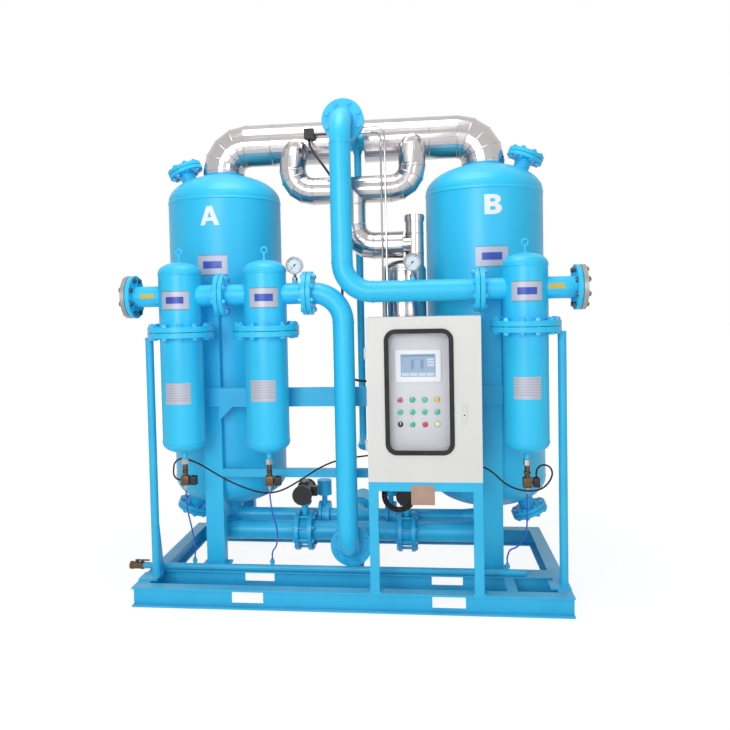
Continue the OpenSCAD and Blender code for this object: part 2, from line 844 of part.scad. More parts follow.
// Inlet manifold with its two switching valves
valve_face = valve_x - valve_l / 2;
module inlet_tee() {
    front = joint_y + gasket_t / 2;
    color(paint)
        difference() {
            union() {
                translate([-valve_face, manifold_y, manifold_z])
                    to_px()
                        cylinder(r = pipe_r, h = 2 * valve_face);
                for (s = [-1, 1])
                    translate([s * valve_face, manifold_y, manifold_z])
                        rotate([0, -s * 90, 0])
                            pipe_flange();
                translate([0, front, manifold_z])
                    to_py() {
                        cylinder(r = pipe_r - 1.5, h = manifold_y - front);
                        pipe_flange();
                    }
            }
            translate([-valve_face - 1, manifold_y, manifold_z])
                to_px()
                    cylinder(r = bore_r, h = 2 * valve_face + 2);
            translate([0, front - 1, manifold_z])
                to_py()
                    cylinder(r = bore_r - 1.5, h = manifold_y - front);
        }
}
module spool_run(s, r, over) {
    start = valve_x + valve_l / 2;
    translate([s * (start - over), manifold_y, manifold_z])
        rotate([0, s * 90, 0])
            cylinder(r = r, h = tower_x - start + over);
    translate([s * tower_x, manifold_y, manifold_z])
        sphere(r = r);
    translate([s * tower_x, manifold_y, manifold_z])
        to_py()
            cylinder(r = r, h = pipe_r + 2 + over);
}
module inlet_spool(s) {
    color(paint)
        difference() {
            union() {
                spool_run(s, pipe_r, 0);
                translate([s * (valve_x + valve_l / 2), manifold_y, manifold_z])
                    rotate([0, s * 90, 0])
                        pipe_flange();
                translate([s * (tower_x - 70), manifold_y, manifold_z])
                    to_px()
                        weld_ring(pipe_r);
            }
            spool_run(s, bore_r, 1);
        }
}
module inlet_spool_a() { inlet_spool(-1); }
module inlet_spool_b() { inlet_spool(1); }

body_r = flange_pcd / 2 - bolt_r - 4;
pad_z = actuator_z - actuator_r - 4;
module inlet_valve_bodies() {
    pad = 70;
    color(paint)
        for (s = [-1, 1])
            translate([s * valve_x, manifold_y, 0])
                difference() {
                    union() {
                        translate([-valve_l / 2, 0, manifold_z])
                            to_px()
                                cylinder(r = body_r, h = valve_l);
                        translate([0, 0, manifold_z + body_r - 8])
                            cylinder(r = 20, h = pad_z - manifold_z - body_r + 8);
                        translate([-pad / 2, -pad / 2, pad_z - 10])
                            cube([pad, pad, 10]);
                    }
                    translate([-valve_l / 2 - 1, 0, manifold_z])
                        to_px()
                            cylinder(r = bore_r, h = valve_l + 2);
                    translate([0, 0, manifold_z - bore_r - 14])
                        cylinder(r = stem_r + fit, h = pad_z - manifold_z + bore_r + 15);
                }
}
// Disc, stem and the position indicator on top of the actuator turn as one
module valve_disc(s) {
    color(bright_steel)
        translate([s * valve_x, manifold_y, 0]) {
            translate([-4, 0, manifold_z])
                to_px()
                    cylinder(r = disc_r - 0.2, h = 8);
            translate([0, 0, manifold_z - bore_r - 12])
                cylinder(r = stem_r, h = indicator_z + 4 - manifold_z + bore_r + 12);
            translate([0, 0, indicator_z])
                cylinder(r = 19, h = 14);
            translate([-26, -5, indicator_z + 6])
                cube([52, 10, 14]);
        }
}
module inlet_valve_a_disc() { valve_disc(-1); }
module inlet_valve_b_disc() { valve_disc(1); }

// Rack and pinion actuators: a round barrel with end caps, lying front to back
module valve_actuators() {
    barrel = 190;
    cap = 16;
    color(dark)
        for (s = [-1, 1])
            translate([s * valve_x, manifold_y, 0])
                difference() {
                    union() {
                        translate([0, -barrel / 2, actuator_z])
                            to_py()
                                cylinder(r = actuator_r - 4, h = barrel);
                        for (y = [-barrel / 2, barrel / 2 - cap])
                            translate([0, y, actuator_z])
                                to_py()
                                    cylinder(r = actuator_r, h = cap);
                        translate([-32, -40, pad_z])
                            cube([64, 80, 30]);
                        translate([-26, -34, actuator_z + actuator_r - 24])
                            cube([52, 68, 24]);
                        translate([actuator_r - 24, -22, actuator_z - 20])
                            cube([44, 44, 52]);
                    }
                    translate([0, 0, pad_z - 1])
                        cylinder(r = stem_r + gap, h = 2 * actuator_r + 10);
                }
}

// Lower tower drums with the exhaust line, its valve flanges and the silencer at the back
module exhaust_manifold() {
    er = exhaust_d / 2;
    valve_at = 195;
    taper = 90;
    stub_y = manifold_y + pipe_r + 2;
    silencer_y = 400;
    color(paint)
        difference() {
            union() {
                for (s = [-1, 1]) {
                    translate([s * tower_x, tower_y, drum_low])
                        cylinder(r = drum_r, h = drum_top - drum_low);
                    translate([s * tower_x, stub_y, manifold_z])
                        to_py()
                            cylinder(r = pipe_r, h = tower_y - stub_y);
                    translate([s * (tower_x - drum_r - taper), tower_y, exhaust_z])
                        rotate([0, s * 90, 0])
                            cylinder(r1 = er, r2 = er + 10, h = taper + drum_r / 2);
                    for (d = [-32, 14])
                        translate([s * valve_at + d, tower_y, exhaust_z])
                            to_px()
                                cylinder(r = 80, h = 18);
                    translate([s * valve_at - 16, tower_y, exhaust_z])
                        to_px()
                            cylinder(r = 58, h = 32);
                    translate([s * valve_at, tower_y, exhaust_z])
                        cylinder(r = 16, h = 130);
                    translate([s * valve_at, tower_y, exhaust_z + 120])
                        cylinder(r = 42, h = 86);
                }
                translate([-tower_x + drum_r + taper - 1, tower_y, exhaust_z])
                    to_px()
                        cylinder(r = er, h = 2 * (tower_x - drum_r - taper) + 2);
                translate([0, tower_y, exhaust_z])
                    to_py()
                        cylinder(r = er - 3, h = silencer_y - tower_y);
                translate([0, silencer_y - 90, exhaust_z])
                    to_py()
                        cylinder(r = 62, h = 210);
            }
            for (s = [-1, 1]) {
                translate([s * tower_x, tower_y, drum_low + 8])
                    cylinder(r = bore_r, h = drum_top - drum_low);
                translate([s * tower_x, stub_y - 1, manifold_z])
                    to_py()
                        cylinder(r = bore_r, h = tower_y - stub_y);
            }
            translate([-tower_x, tower_y, exhaust_z])
                to_px()
                    cylinder(r = er - 4, h = 2 * tower_x);
            translate([0, tower_y, exhaust_z])
                to_py()
                    cylinder(r = er - 8, h = silencer_y - tower_y + 100);
        }
}

// Top header: bare tee in the middle, clad pipe to each tower
module outlet_tee() {
    front = joint_y + gasket_t / 2;
    reach = (tower_y - front - flange_t / 2) / cos(branch_tilt);
    color(paint)
        difference() {
            union() {
                translate([-tee_half, tower_y, header_z])
                    to_px()
                        cylinder(r = pipe_r, h = 2 * tee_half);
                translate([0, tower_y, header_z])
                    rotate([90 - branch_tilt, 0, 0])
                        cylinder(r = pipe_r - 1.5, h = reach);
                translate([0, front, delivery_z])
                    to_py()
                        pipe_flange();
                for (y = tube_y)
                    translate([0, y, branch_z(y)])
                        to_px()
                            cylinder(r = 11, h = tube_out);
                translate([0, probe_y, probe_z])
                    to_mx()
                        cylinder(r = 13, h = tube_out);
                translate([40, tower_y, header_z - pipe_r - 14])
                    cylinder(r = 26, h = 30);
            }
            translate([-tee_half - 1, tower_y, header_z])
                to_px()
                    cylinder(r = bore_r, h = 2 * tee_half + 2);
            translate([0, tower_y, header_z])
                rotate([90 - branch_tilt, 0, 0])
                    cylinder(r = bore_r - 1.5, h = reach - 8);
            translate([0, front - 1, delivery_z])
                to_py()
                    cylinder(r = bore_r, h = flange_t + 20);
            translate([40, tower_y, header_z - pipe_r - 15])
                cylinder(r = 17, h = 40);
        }
}

// Segmented metal cladding: straight lengths and bends made of flat gores
gores = 4;
clad_sides = 36;
function arc_points(c, r, a0, a1, u, v) =
    [for (i = [0 : gores]) let (a = a0 + (a1 - a0) * i / gores) c + r * (cos(a) * u + sin(a) * v)];
turn_r = header_z - top_seat_z - clad_collar;
function clad_route(s) = concat([[s * tower_x, tower_y, top_seat_z]],
    arc_points([s * (tower_x - turn_r), tower_y, top_seat_z + clad_collar], turn_r, 0, 90,
        [s, 0, 0], [0, 0, 1]),
    [[s * tee_half, tower_y, header_z]]);
function clad_radii() = [for (i = [-1 : gores + 1])
    i > gores ? clad_r : clad_top_d / 2 + (clad_r - clad_top_d / 2) * max(i, 0) / gores];
stub_dir = [0, loop_y - tower_y, loop_z + loop_r + 45 - header_z];
stub_share = (clad_r + 10) / norm(stub_dir);
stub_end = [0, tower_y, header_z] + stub_share * stub_dir;
module clad_pipe(s) {
    color(bright_steel)
        union() {
            swept(clad_route(s), clad_radii(), clad_sides, [0, 1, 0]);
            translate([drop_x + s * loop_x, 0, 0])
                rod([0, tower_y, header_z] + 0.1 * stub_dir, stub_end, loop_tube_r);
        }
}
module clad_pipe_a() { clad_pipe(-1); }
module clad_pipe_b() { clad_pipe(1); }

// Purge loop: a clad yoke from the header stubs, with a drop to the heater
function yoke_half(s) = concat(
    [for (t = [stub_share + gap / norm(stub_dir), 0.62, 0.78])
        [drop_x + s * loop_x, tower_y, header_z] + t * stub_dir],
    [[drop_x + s * loop_x, loop_y + 16, loop_z + loop_r + 46],
        [drop_x + s * loop_x, loop_y, loop_z + loop_r]],
    [for (p = arc_points([drop_x + s * (loop_x - loop_r), loop_y, loop_z + loop_r], loop_r, 0, -90,
        [s, 0, 0], [0, 0, 1])) if (p[2] < loop_z + loop_r - 0.01) p]);
function backwards(p) = [for (i = [len(p) - 1 : -1 : 0]) p[i]];
module regen_loop() {
    yoke = concat(yoke_half(-1), backwards(yoke_half(1)));
    drop = concat([[drop_x, loop_y, loop_z]],
        arc_points([drop_x + loop_r, loop_y, drop_z + loop_r], loop_r, 180, 270,
            [1, 0, 0], [0, 0, 1]),
        [[neck_x - neck_r - 10, loop_y, drop_z]]);
    color(bright_steel)
        union() {
            swept(yoke, [for (p = yoke) loop_tube_r], clad_sides, [0, 1, 0]);
            swept(drop, [for (p = drop) loop_tube_r], clad_sides, [0, 1, 0]);
        }
}

module heater_vessel() {
    shoulder = 60;
    band = 24;
    lug_h = 20;
    lug_w = 110;
    color(bright_steel)
        union() {
            translate([heater_x, heater_y, 0])
                rotate_extrude()
                    polygon(concat([[0, heater_low - 40]],
                        [for (p = head_arc(heater_r, 40, heater_low, false)) if (p[0] > 0.01) p],
                        [for (p = head_arc(heater_r, shoulder, heater_high, true))
                            if (p[0] > 0.01) p], [[0, heater_high + shoulder]]));
            for (z = [heater_low + 120, heater_high - 120])
                translate([heater_x, heater_y, z])
                    cylinder(r = heater_r + 3, h = band);
            translate([neck_x, heater_y, heater_high - 20])
                cylinder(r = neck_r, h = neck_top - heater_high + 20);
            translate([neck_x, heater_y, neck_top - 36])
                cylinder(r = neck_r + 5, h = 30);
            translate([neck_x - neck_r - 10, loop_y, drop_z])
                to_px()
                    cylinder(r = 44, h = 40);
            translate([heater_x - lug_w / 2, leg_front, tie_top - lug_h])
                cube([lug_w, heater_y - heater_r / 2 - leg_front, lug_h]);
            translate([heater_x - heater_r - 20, heater_y, purge_z])
                to_px()
                    cylinder(r = 26, h = 80);
        }
}

// Bare purge line from the header tee down to the heater
module purge_run(r, over) {
    rad = 63;
    x = 40;
    z = purge_z;
    top = header_z - pipe_r - 14;
    translate([x, tower_y, z + rad])
        cylinder(r = r, h = top - z - rad + over);
    translate([x, tower_y - rad, z])
        rotate([0, 0, 90])
            bend(r, rad);
    translate([x, heater_y + rad, z])
        to_py()
            cylinder(r = r, h = tower_y - heater_y - 2 * rad);
    translate([x + rad, heater_y + rad, z])
        rotate([0, 0, 180])
            rotate_extrude(angle = 90)
                translate([rad, 0])
                    circle(r = r);
    translate([x + rad, heater_y, z])
        to_px()
            cylinder(r = r, h = heater_x - heater_r - 20 - x - rad + over);
}
module purge_pipe() {
    color(paint)
        difference() {
            purge_run(21, 0);
            purge_run(17, 1);
        }
}

// Drain header with its nipples, and the ball valve on its left end
module drain_header() {
    right = 905;
    color(paint)
        difference() {
            union() {
                translate([valve_end_x, header_y, header_pipe_z])
                    to_px()
                        cylinder(d = drain_d, h = right - valve_end_x);
                for (x = nipple_x)
                    translate([x, header_y, header_pipe_z]) {
                        cylinder(r = 9, h = nipple_top - header_pipe_z);
                        translate([0, 0, drain_d / 2 + 8])
                            cylinder(r = 13, h = 14, $fn = 6);
                    }
            }
            translate([valve_end_x - 1, header_y, header_pipe_z])
                to_px()
                    cylinder(d = drain_d - 7, h = right - valve_end_x - 6);
        }
}
module header_valve() {
    color(brass)
        difference() {
            union() {
                for (x = [valve_end_x - 18, valve_end_x - 76])
                    translate([x, header_y, header_pipe_z])
                        to_px()
                            cylinder(r = 23, h = 18, $fn = 6);
                translate([valve_end_x - 62, header_y, header_pipe_z])
                    to_px()
                        cylinder(r = 19, h = 48);
                translate([valve_end_x - 38, header_y, header_pipe_z])
                    cylinder(r = 10, h = lever_z - header_pipe_z);
            }
            translate([valve_end_x - 90, header_y, header_pipe_z])
                to_px()
                    cylinder(r = 11, h = 100);
            translate([valve_end_x - 38, header_y, header_pipe_z])
                cylinder(r = 4 + fit, h = 60);
        }
}
module header_valve_lever() {
    color(dark)
        translate([valve_end_x - 38, header_y, lever_z + gap]) {
            translate([0, 0, -12])
                cylinder(r = 4, h = 14);
            cylinder(r = 11, h = 4);
            translate([0, -8, 0])
                cube([64, 16, 4]);
            translate([64, 0, 0])
                cylinder(r = 8, h = 4);
        }
}

// Control cabinet
module rounded_plate(w, h, t, r) {
    translate([-w / 2 + r, 0, -h / 2])
        cube([w - 2 * r, t, h]);
    translate([-w / 2, 0, -h / 2 + r])
        cube([w, t, h - 2 * r]);
    for (x = [-1, 1], z = [-1, 1])
        translate([x * (w / 2 - r), 0, z * (h / 2 - r)])
            to_py()
                cylinder(r = r, h = t);
}
// Door hinges: two box knuckles with their pin, and the door's knuckle between them
module at_hinges() {
    for (z = [cab_z + hinge_inset, cab_z + cab_h - hinge_inset])
        translate([hinge_x, hinge_y, z])
            children();
}
module knuckle(low, back) {
    reach = hinge_r + gap + 1;
    translate([0, 0, low])
        cylinder(r = hinge_r, h = knuckle_h - gap);
    translate([reach - 1 - leaf_t, back ? gap / 2 : -door_t + 2, low])
        cube([leaf_t + 1, back ? 24 : door_t - 2 - gap / 2, knuckle_h - gap]);
}
module cabinet_box() {
    lip = 14;
    color(grey_paint)
        difference() {
            union() {
                translate([cab_left, box_y, cab_z])
                    cube([cab_w, cab_d, cab_h]);
                at_hinges() {
                    knuckle(knuckle_h / 2 + gap, true);
                    knuckle(-1.5 * knuckle_h, true);
                    translate([0, 0, -1.5 * knuckle_h])
                        cylinder(r = hinge_pin_r, h = 3 * knuckle_h);
                }
            }
            translate([cab_left + sheet, box_y - 1, cab_z + sheet])
                cube([cab_w - 2 * sheet, panel_y + sheet - box_y + 1, cab_h - 2 * sheet]);
            translate([cab_left + sheet + lip, box_y - 1, cab_z + sheet + lip])
                cube([cab_w - 2 * sheet - 2 * lip, cab_d + 1 - sheet, cab_h - 2 * sheet - 2 * lip]);
            translate([cab_left + sheet, panel_y + 2 * sheet, cab_z + sheet])
                cube([cab_w - 2 * sheet, cab_back - panel_y - 3 * sheet, cab_h - 2 * sheet]);
        }
}
module cabinet_door() {
    color(grey_paint)
        difference() {
            union() {
                translate([cab_left, door_y, cab_z])
                    cube([cab_w, door_t, cab_h]);
                at_hinges()
                    knuckle(-knuckle_h / 2 + gap, false);
            }
            translate([cab_left + sheet, door_y + sheet, cab_z + sheet])
                cube([cab_w - 2 * sheet, door_t, cab_h - 2 * sheet]);
            translate([window_x, door_y - 1, window_z])
                rounded_plate(window_w, window_h, 2 + sheet, 40);
            translate([latch_x, door_y - 1, latch_z])
                to_py()
                    cylinder(r = 6 + fit, h = 2 + sheet);
            at_hinges()
                translate([0, 0, -knuckle_h])
                    cylinder(r = hinge_pin_r + fit, h = 2 * knuckle_h);
        }
}
module window_gasket() {
    inner_w = window_w - 2 * gasket_in;
    inner_h = window_h - 2 * gasket_in;
    color(dark)
        translate([window_x, 0, window_z])
            difference() {
                union() {
                    translate([0, door_y - 5, 0])
                        rounded_plate(window_w + 2 * gasket_lip, window_h + 2 * gasket_lip, 5,
                            40 + gasket_lip);
                    translate([0, door_y - 1, 0])
                        rounded_plate(window_w - 2 * gap, window_h - 2 * gap, 9, 40 - gap);
                }
                translate([0, door_y - 6, 0])
                    rounded_plate(inner_w, inner_h, 20, 40 - gasket_in);
            }
}
module window_pane() {
    color([0.9, 0.95, 1, 0.4])
        translate([window_x, door_y + 1, window_z])
            rounded_plate(window_w - 2 * gasket_in - 2 * gap, window_h - 2 * gasket_in - 2 * gap, 3,
                40 - gasket_in - gap);
}
module inner_panel() {
    w = cab_w - 2 * sheet - 2;
    h = cab_h - 2 * sheet - 2;
    color(grey_paint)
        difference() {
            union() {
                translate([cab_x - w / 2, panel_y, cab_mid_z - h / 2])
                    cube([w, sheet, h]);
                for (k = [1, 2])
                    translate([lamp_x + k * lamp_pitch, panel_y - 10, lamp_z - 2 * lamp_pitch])
                        to_py()
                            cylinder(r = 14, h = 11);
            }
            for (k = [1, 2])
                translate([lamp_x + k * lamp_pitch, panel_y - 11, lamp_z - 2 * lamp_pitch])
                    to_py()
                        cylinder(r = 11, h = 9);
            for (k = [0, 1, 2])
                translate([lamp_x + k * lamp_pitch, panel_y - 4, lamp_z - 2 * lamp_pitch])
                    to_py()
                        cylinder(r = 5 + fit, h = 10);
        }
}
module touch_screen() {
    w = 220;
    h = 156;
    lcd_w = 170;
    lcd_h = 112;
    color([0.8, 0.8, 0.82])
        translate([lamp_x + 1.5 * lamp_pitch, panel_y - 9, cab_z + 560])
            difference() {
                rounded_plate(w, h, 9, 6);
                translate([0, -1, 2])
                    rounded_plate(lcd_w, lcd_h, 3, 2);
            }
}
module pilot_lamps() {
    color([0.1, 0.6, 0.5])
        for (k = [0 : 3], row = [0 : 2])
            if (row < 2 || k == 3)
                translate([lamp_x + k * lamp_pitch, panel_y, lamp_z - row * lamp_pitch])
                    to_my() {
                        cylinder(r = 14, h = 5);
                        cylinder(r1 = 11.5, r2 = 10, h = 14);
                    }
}
// A knob or push button on the panel's third row
module panel_stem() {
    translate([0, 0, -sheet - 8])
        cylinder(r = 5, h = sheet + 16);
}
module at_row_three(k) {
    translate([lamp_x + k * lamp_pitch, panel_y, lamp_z - 2 * lamp_pitch])
        to_my()
            children();
}
module selector_knob() {
    color(dark)
        at_row_three(0) {
            panel_stem();
            translate([0, 0, gap])
                cylinder(r = 14, h = 5);
            translate([0, 0, 1])
                cylinder(r = 10.5, h = 10);
            translate([-4, -13, 5])
                cube([8, 26, 13]);
        }
}
module push_button() {
    panel_stem();
    translate([0, 0, 7])
        cylinder(r = 10.5, h = 8);
}
module start_button() {
    color([0.1, 0.65, 0.4])
        at_row_three(1)
            push_button();
}
module stop_button() {
    color([0.75, 0.1, 0.1])
        at_row_three(2)
            push_button();
}
// Swing handle of the door lock, with its spindle and cam
module door_latch() {
    color(bright_steel)
        translate([latch_x, door_y - gap, latch_z])
            to_my() {
                cylinder(r = 15, h = 7);
                translate([-11, 0, 0])
                    cube([22, 72, 9]);
                translate([0, 0, -gap - sheet - 7])
                    cylinder(r = 6, h = gap + sheet + 9);
                translate([-7, -7, -gap - sheet - 9])
                    cube([42, 14, 4]);
            }
}
module cabinet_stand() {
    rail_z = cab_z - stand_w;
    depth = cab_d + door_t - 30;
    y0 = -skid_w / 2;
    color(paint) {
        for (x = [cab_left, cab_left + cab_w - stand_w]) {
            translate([x, y0, beam_h])
                cube([stand_w, stand_w, rail_z - beam_h + 1]);
            translate([x, y0, rail_z])
                cube([stand_w, depth, stand_w]);
            translate([x - 8, y0, beam_h])
                cube([stand_w + 16, beam_w - 4, 8]);
        }
        for (y = [y0, y0 + depth - stand_w])
            translate([cab_left, y, rail_z])
                cube([cab_w, stand_w, stand_w]);
    }
}

// Pressure gauges: open fronted case with its dial, neck and hexagon
gauge_front = filter_y - 20;
dial_y = gauge_front + dial_depth;
module gauge_cases() {
    seat = nozzle_z + pipe_r + boss_h;
    color(bright_steel)
        for (x = gauge_x)
            translate([x, 0, 0])
                difference() {
                    union() {
                        translate([0, gauge_front, gauge_z])
                            to_py() {
                                cylinder(r = gauge_r, h = 8);
                                cylinder(r = gauge_r - 3, h = 36);
                            }
                        translate([0, filter_y, seat])
                            cylinder(r = 8, h = gauge_z - seat);
                        translate([0, filter_y, seat])
                            cylinder(r = 14, h = 14, $fn = 6);
                    }
                    translate([0, gauge_front - 1, gauge_z])
                        to_py()
                            cylinder(r = gauge_r - 6, h = dial_depth + 1);
                    translate([0, dial_y - 1, gauge_z])
                        to_py()
                            cylinder(r = 1.5 + fit, h = 12);
                }
}
module gauge_needle(i) {
    color(dark)
        translate([gauge_x[i], dial_y, gauge_z])
            to_my() {
                translate([0, 0, -8])
                    cylinder(r = 1.5, h = 13);
                translate([0, 0, 2])
                    cylinder(r = 5, h = 3);
                rotate([0, 0, 135])
                    translate([-1, -12, 2.5])
                        cube([2, gauge_r + 2, 1]);
            }
}
module feed_gauge_needle() { gauge_needle(0); }
module delivery_gauge_needle() { gauge_needle(1); }

// Bolted joints: every one is centred on its gasket with its axis along +Z
module at_pipe_joints() {
    for (x = [f1_x - end_reach - gasket_t / 2, f2_x - nozzle_reach - gasket_t / 2,
            f2_x + nozzle_reach + gasket_t / 2, f3_x - nozzle_reach - gasket_t / 2,
            f3_x + end_reach + gasket_t / 2])
        translate([x, filter_y, nozzle_z])
            to_px()
                children();
    for (z = [manifold_z, delivery_z])
        translate([0, joint_y, z])
            to_py()
                children();
}
module at_body_joints() {
    for (x = filter_x)
        translate([x, filter_y, joint_z])
            children();
}
module at_hand_joints() {
    for (s = [-1, 1], top = [false, true])
        at_handhole(s, top)
            translate([0, 0, hand_reach])
                children();
}
module bolt_ring(pcd, n, r, grip) {
    head = r * 1.25;
    for (k = [0 : n - 1])
        rotate([0, 0, 360 * (k + 0.5) / n])
            translate([pcd / 2, 0, 0]) {
                translate([0, 0, -grip / 2 - head * 0.5])
                    cylinder(r = r, h = grip + head * 1.9, $fn = 24);
                for (z = [-grip / 2 - head, grip / 2])
                    translate([0, 0, z])
                        cylinder(r = r * 1.7, h = head, $fn = 6);
            }
}
module flange_bolts() {
    color("gray") {
        at_pipe_joints()
            bolt_ring(flange_pcd, bolt_count, bolt_r, 2 * flange_t + gasket_t);
        at_body_joints()
            bolt_ring(body_pcd, body_bolt_count, body_bolt_r, 2 * body_flange_t + gasket_t);
        at_hand_joints()
            bolt_ring(hand_pcd, bolt_count, bolt_r, 2 * hand_t + gasket_t);
        for (s = [-1, 1])
            translate([s * valve_x, manifold_y, manifold_z])
                to_px()
                    bolt_ring(flange_pcd, bolt_count, bolt_r, valve_l + 2 * flange_t);
    }
}
module gasket_ring(r_in, r_out) {
    translate([0, 0, -gasket_t / 2])
        difference() {
            cylinder(r = r_out, h = gasket_t);
            translate([0, 0, -1])
                cylinder(r = r_in, h = gasket_t + 2);
        }
}
module gaskets() {
    color(dark) {
        at_pipe_joints()
            gasket_ring(pipe_r + gasket_clear, flange_pcd / 2 - hole_r);
        at_body_joints()
            gasket_ring(filter_r + 1, body_pcd / 2 - body_hole_r);
        at_hand_joints()
            gasket_ring(hand_neck_r, hand_pcd / 2 - hole_r);
    }
}

// Dew point probe on the header branch, with the lead that is strapped down to the cabinet
module dew_sensor() {
    color(dark)
        union() {
            translate([-tube_out, probe_y, probe_z])
                to_mx() {
                    cylinder(r = 11, h = 16, $fn = 6);
                    cylinder(r = 6, h = 122);
                }
            translate([-tube_out - 170, probe_y - 22, probe_z - 24])
                cube([54, 44, 56]);
            cord(sensor_cable_route, lead_d, 8);
        }
}
module impulse_tubes() {
    color(bright_steel) {
        cord(high_tube_route, 10, 8);
        cord(low_tube_route, 10, 8);
    }
}
module drain_cable_left() {
    color(dark)
        cord(left_cable_route, cable_d, 8);
}
module drain_cable_right() {
    color(dark)
        cord(right_cable_route, cable_d, 8);
}
module drain_tube_1() {
    color(tube_blue)
        cord(left_drop_route, tube_d, 8);
}
module drain_tube_2() {
    color(tube_blue)
        cord(mid_drop_route, tube_d, 8);
}
module drain_tube_3() {
    color(tube_blue)
        cord(right_drop_route, tube_d, 8);
}
module spare_cable_coil() {
    color(dark)
        translate([cab_left + 142, coil_y, cab_z - gap - coil_r - coil_tube_r])
            rotate([90, 0, 0])
                rotate_extrude()
                    translate([coil_r, 0])
                        circle(r = coil_tube_r, $fn = 24);
}

skid_frame();
tie_beams();
filter_posts();
tower_a_vessel();
tower_b_vessel();
desiccant_beds();
handhole_covers();
filter_1_head();
filter_2_head();
filter_3_head();
filter_1_bowl();
filter_2_bowl();
filter_3_bowl();
filter_elements();
drain_valves();
counter_flanges();
feed_pipe();
delivery_pipe();
inlet_tee();
inlet_spool_a();
inlet_spool_b();
inlet_valve_bodies();
inlet_valve_a_disc();
inlet_valve_b_disc();
valve_actuators();
exhaust_manifold();
outlet_tee();
clad_pipe_a();
clad_pipe_b();
regen_loop();
heater_vessel();
purge_pipe();
drain_header();
header_valve();
header_valve_lever();
cabinet_box();
cabinet_door();
window_gasket();
window_pane();
inner_panel();
touch_screen();
pilot_lamps();
selector_knob();
start_button();
stop_button();
door_latch();
cabinet_stand();
gauge_cases();
feed_gauge_needle();
delivery_gauge_needle();
flange_bolts();
gaskets();
dew_sensor();
impulse_tubes();
drain_cable_left();
drain_cable_right();
drain_tube_1();
drain_tube_2();
drain_tube_3();
spare_cable_coil();
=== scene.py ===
# %% [markdown]
# A desiccant air dryer on its skid. The machined shapes come from the imported CAD frame, and this
# lesson dresses them: paint, cladding, plates, dials, lamps and cables. We load the frame first.
# Nothing that we add may make the dryer bigger.

# %% Load the frame
import math

import bmesh
import bpy
from mathutils import Matrix, Vector


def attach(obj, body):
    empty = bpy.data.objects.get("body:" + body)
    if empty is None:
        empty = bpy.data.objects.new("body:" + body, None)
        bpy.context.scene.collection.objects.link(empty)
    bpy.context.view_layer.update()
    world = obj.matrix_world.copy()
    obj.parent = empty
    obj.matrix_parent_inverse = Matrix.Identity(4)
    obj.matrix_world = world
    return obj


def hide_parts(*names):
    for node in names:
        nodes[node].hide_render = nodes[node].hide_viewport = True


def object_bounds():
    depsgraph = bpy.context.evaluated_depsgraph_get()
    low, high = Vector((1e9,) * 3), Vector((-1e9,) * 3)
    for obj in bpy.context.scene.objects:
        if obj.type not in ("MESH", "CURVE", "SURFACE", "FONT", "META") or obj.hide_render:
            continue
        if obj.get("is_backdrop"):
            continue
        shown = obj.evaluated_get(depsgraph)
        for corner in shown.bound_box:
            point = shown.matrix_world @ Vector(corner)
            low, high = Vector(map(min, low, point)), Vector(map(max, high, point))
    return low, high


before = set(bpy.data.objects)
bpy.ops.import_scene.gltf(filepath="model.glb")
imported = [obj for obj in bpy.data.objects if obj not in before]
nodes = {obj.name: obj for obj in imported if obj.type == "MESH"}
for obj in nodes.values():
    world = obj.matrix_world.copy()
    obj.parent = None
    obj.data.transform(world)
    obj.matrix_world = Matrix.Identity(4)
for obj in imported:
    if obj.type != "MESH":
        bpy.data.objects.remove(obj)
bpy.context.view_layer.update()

X, Y, Z = Vector((1, 0, 0)), Vector((0, 1, 0)), Vector((0, 0, 1))

# %% [markdown]
# The camera stands a little right of the middle, at chest height, and looks slightly left. A picture
# that was cropped has its optical centre off its middle. Turning the camera would move it back, but
# upright lines would lean. The lens shift moves the picture and keeps them as they are.

# %% Camera
picture, focal, centre_x, centre_y = 730, 725.706, 341.50, 336.32
camera_at = Vector((0.40597, -4.05469, 1.50620))
yaw, pitch, roll = -0.114, 0.0403, 0.0211
look = Vector((math.sin(yaw) * math.cos(pitch), math.cos(yaw) * math.cos(pitch), -math.sin(pitch)))
level_right = Vector((math.cos(yaw), -math.sin(yaw), 0))
level_down = look.cross(level_right)
right = math.cos(roll) * level_right + math.sin(roll) * level_down
down = -math.sin(roll) * level_right + math.cos(roll) * level_down

camera = bpy.data.objects.new("camera", bpy.data.cameras.new("camera"))
bpy.context.scene.collection.objects.link(camera)
camera.matrix_world = Matrix.Translation(camera_at) @ Matrix((right, -down, -look)).transposed().to_4x4()
camera.data.sensor_width = 36
camera.data.lens = focal / picture * camera.data.sensor_width
camera.data.shift_x = (picture / 2 - centre_x) / picture
camera.data.shift_y = -(picture / 2 - centre_y) / picture
bpy.context.scene.camera = camera
print("camera: lens", round(camera.data.lens, 2), "mm")

# %% [markdown]
# Plain soft light: a wide lamp beside the camera, a weaker one from the right and one overhead. Small
# lamps would give hard shadows and tiny highlights, so these are areas about as wide as the dryer.

# %% Lamps
def soft_lamp(name, at, aim, size, power):
    lamp = bpy.data.objects.new(name, bpy.data.lights.new(name, "AREA"))
    lamp.data.size = size
    lamp.data.energy = power
    lamp.location = at
    lamp.rotation_euler = (Vector(aim) - Vector(at)).to_track_quat("-Z", "Y").to_euler()
    bpy.context.scene.collection.objects.link(lamp)


soft_lamp("front_lamp", (-0.9, -5.4, 2.3), (0, 0, 1.2), 2.2, 118)
soft_lamp("side_lamp", (3.0, -4.4, 2.0), (0, 0, 1.2), 2.0, 26)
soft_lamp("top_lamp", (-0.2, -0.9, 5.2), (0, 0, 1.5), 2.4, 84)
bpy.context.scene.view_settings.view_transform = "Standard"
print("lamps: 3")

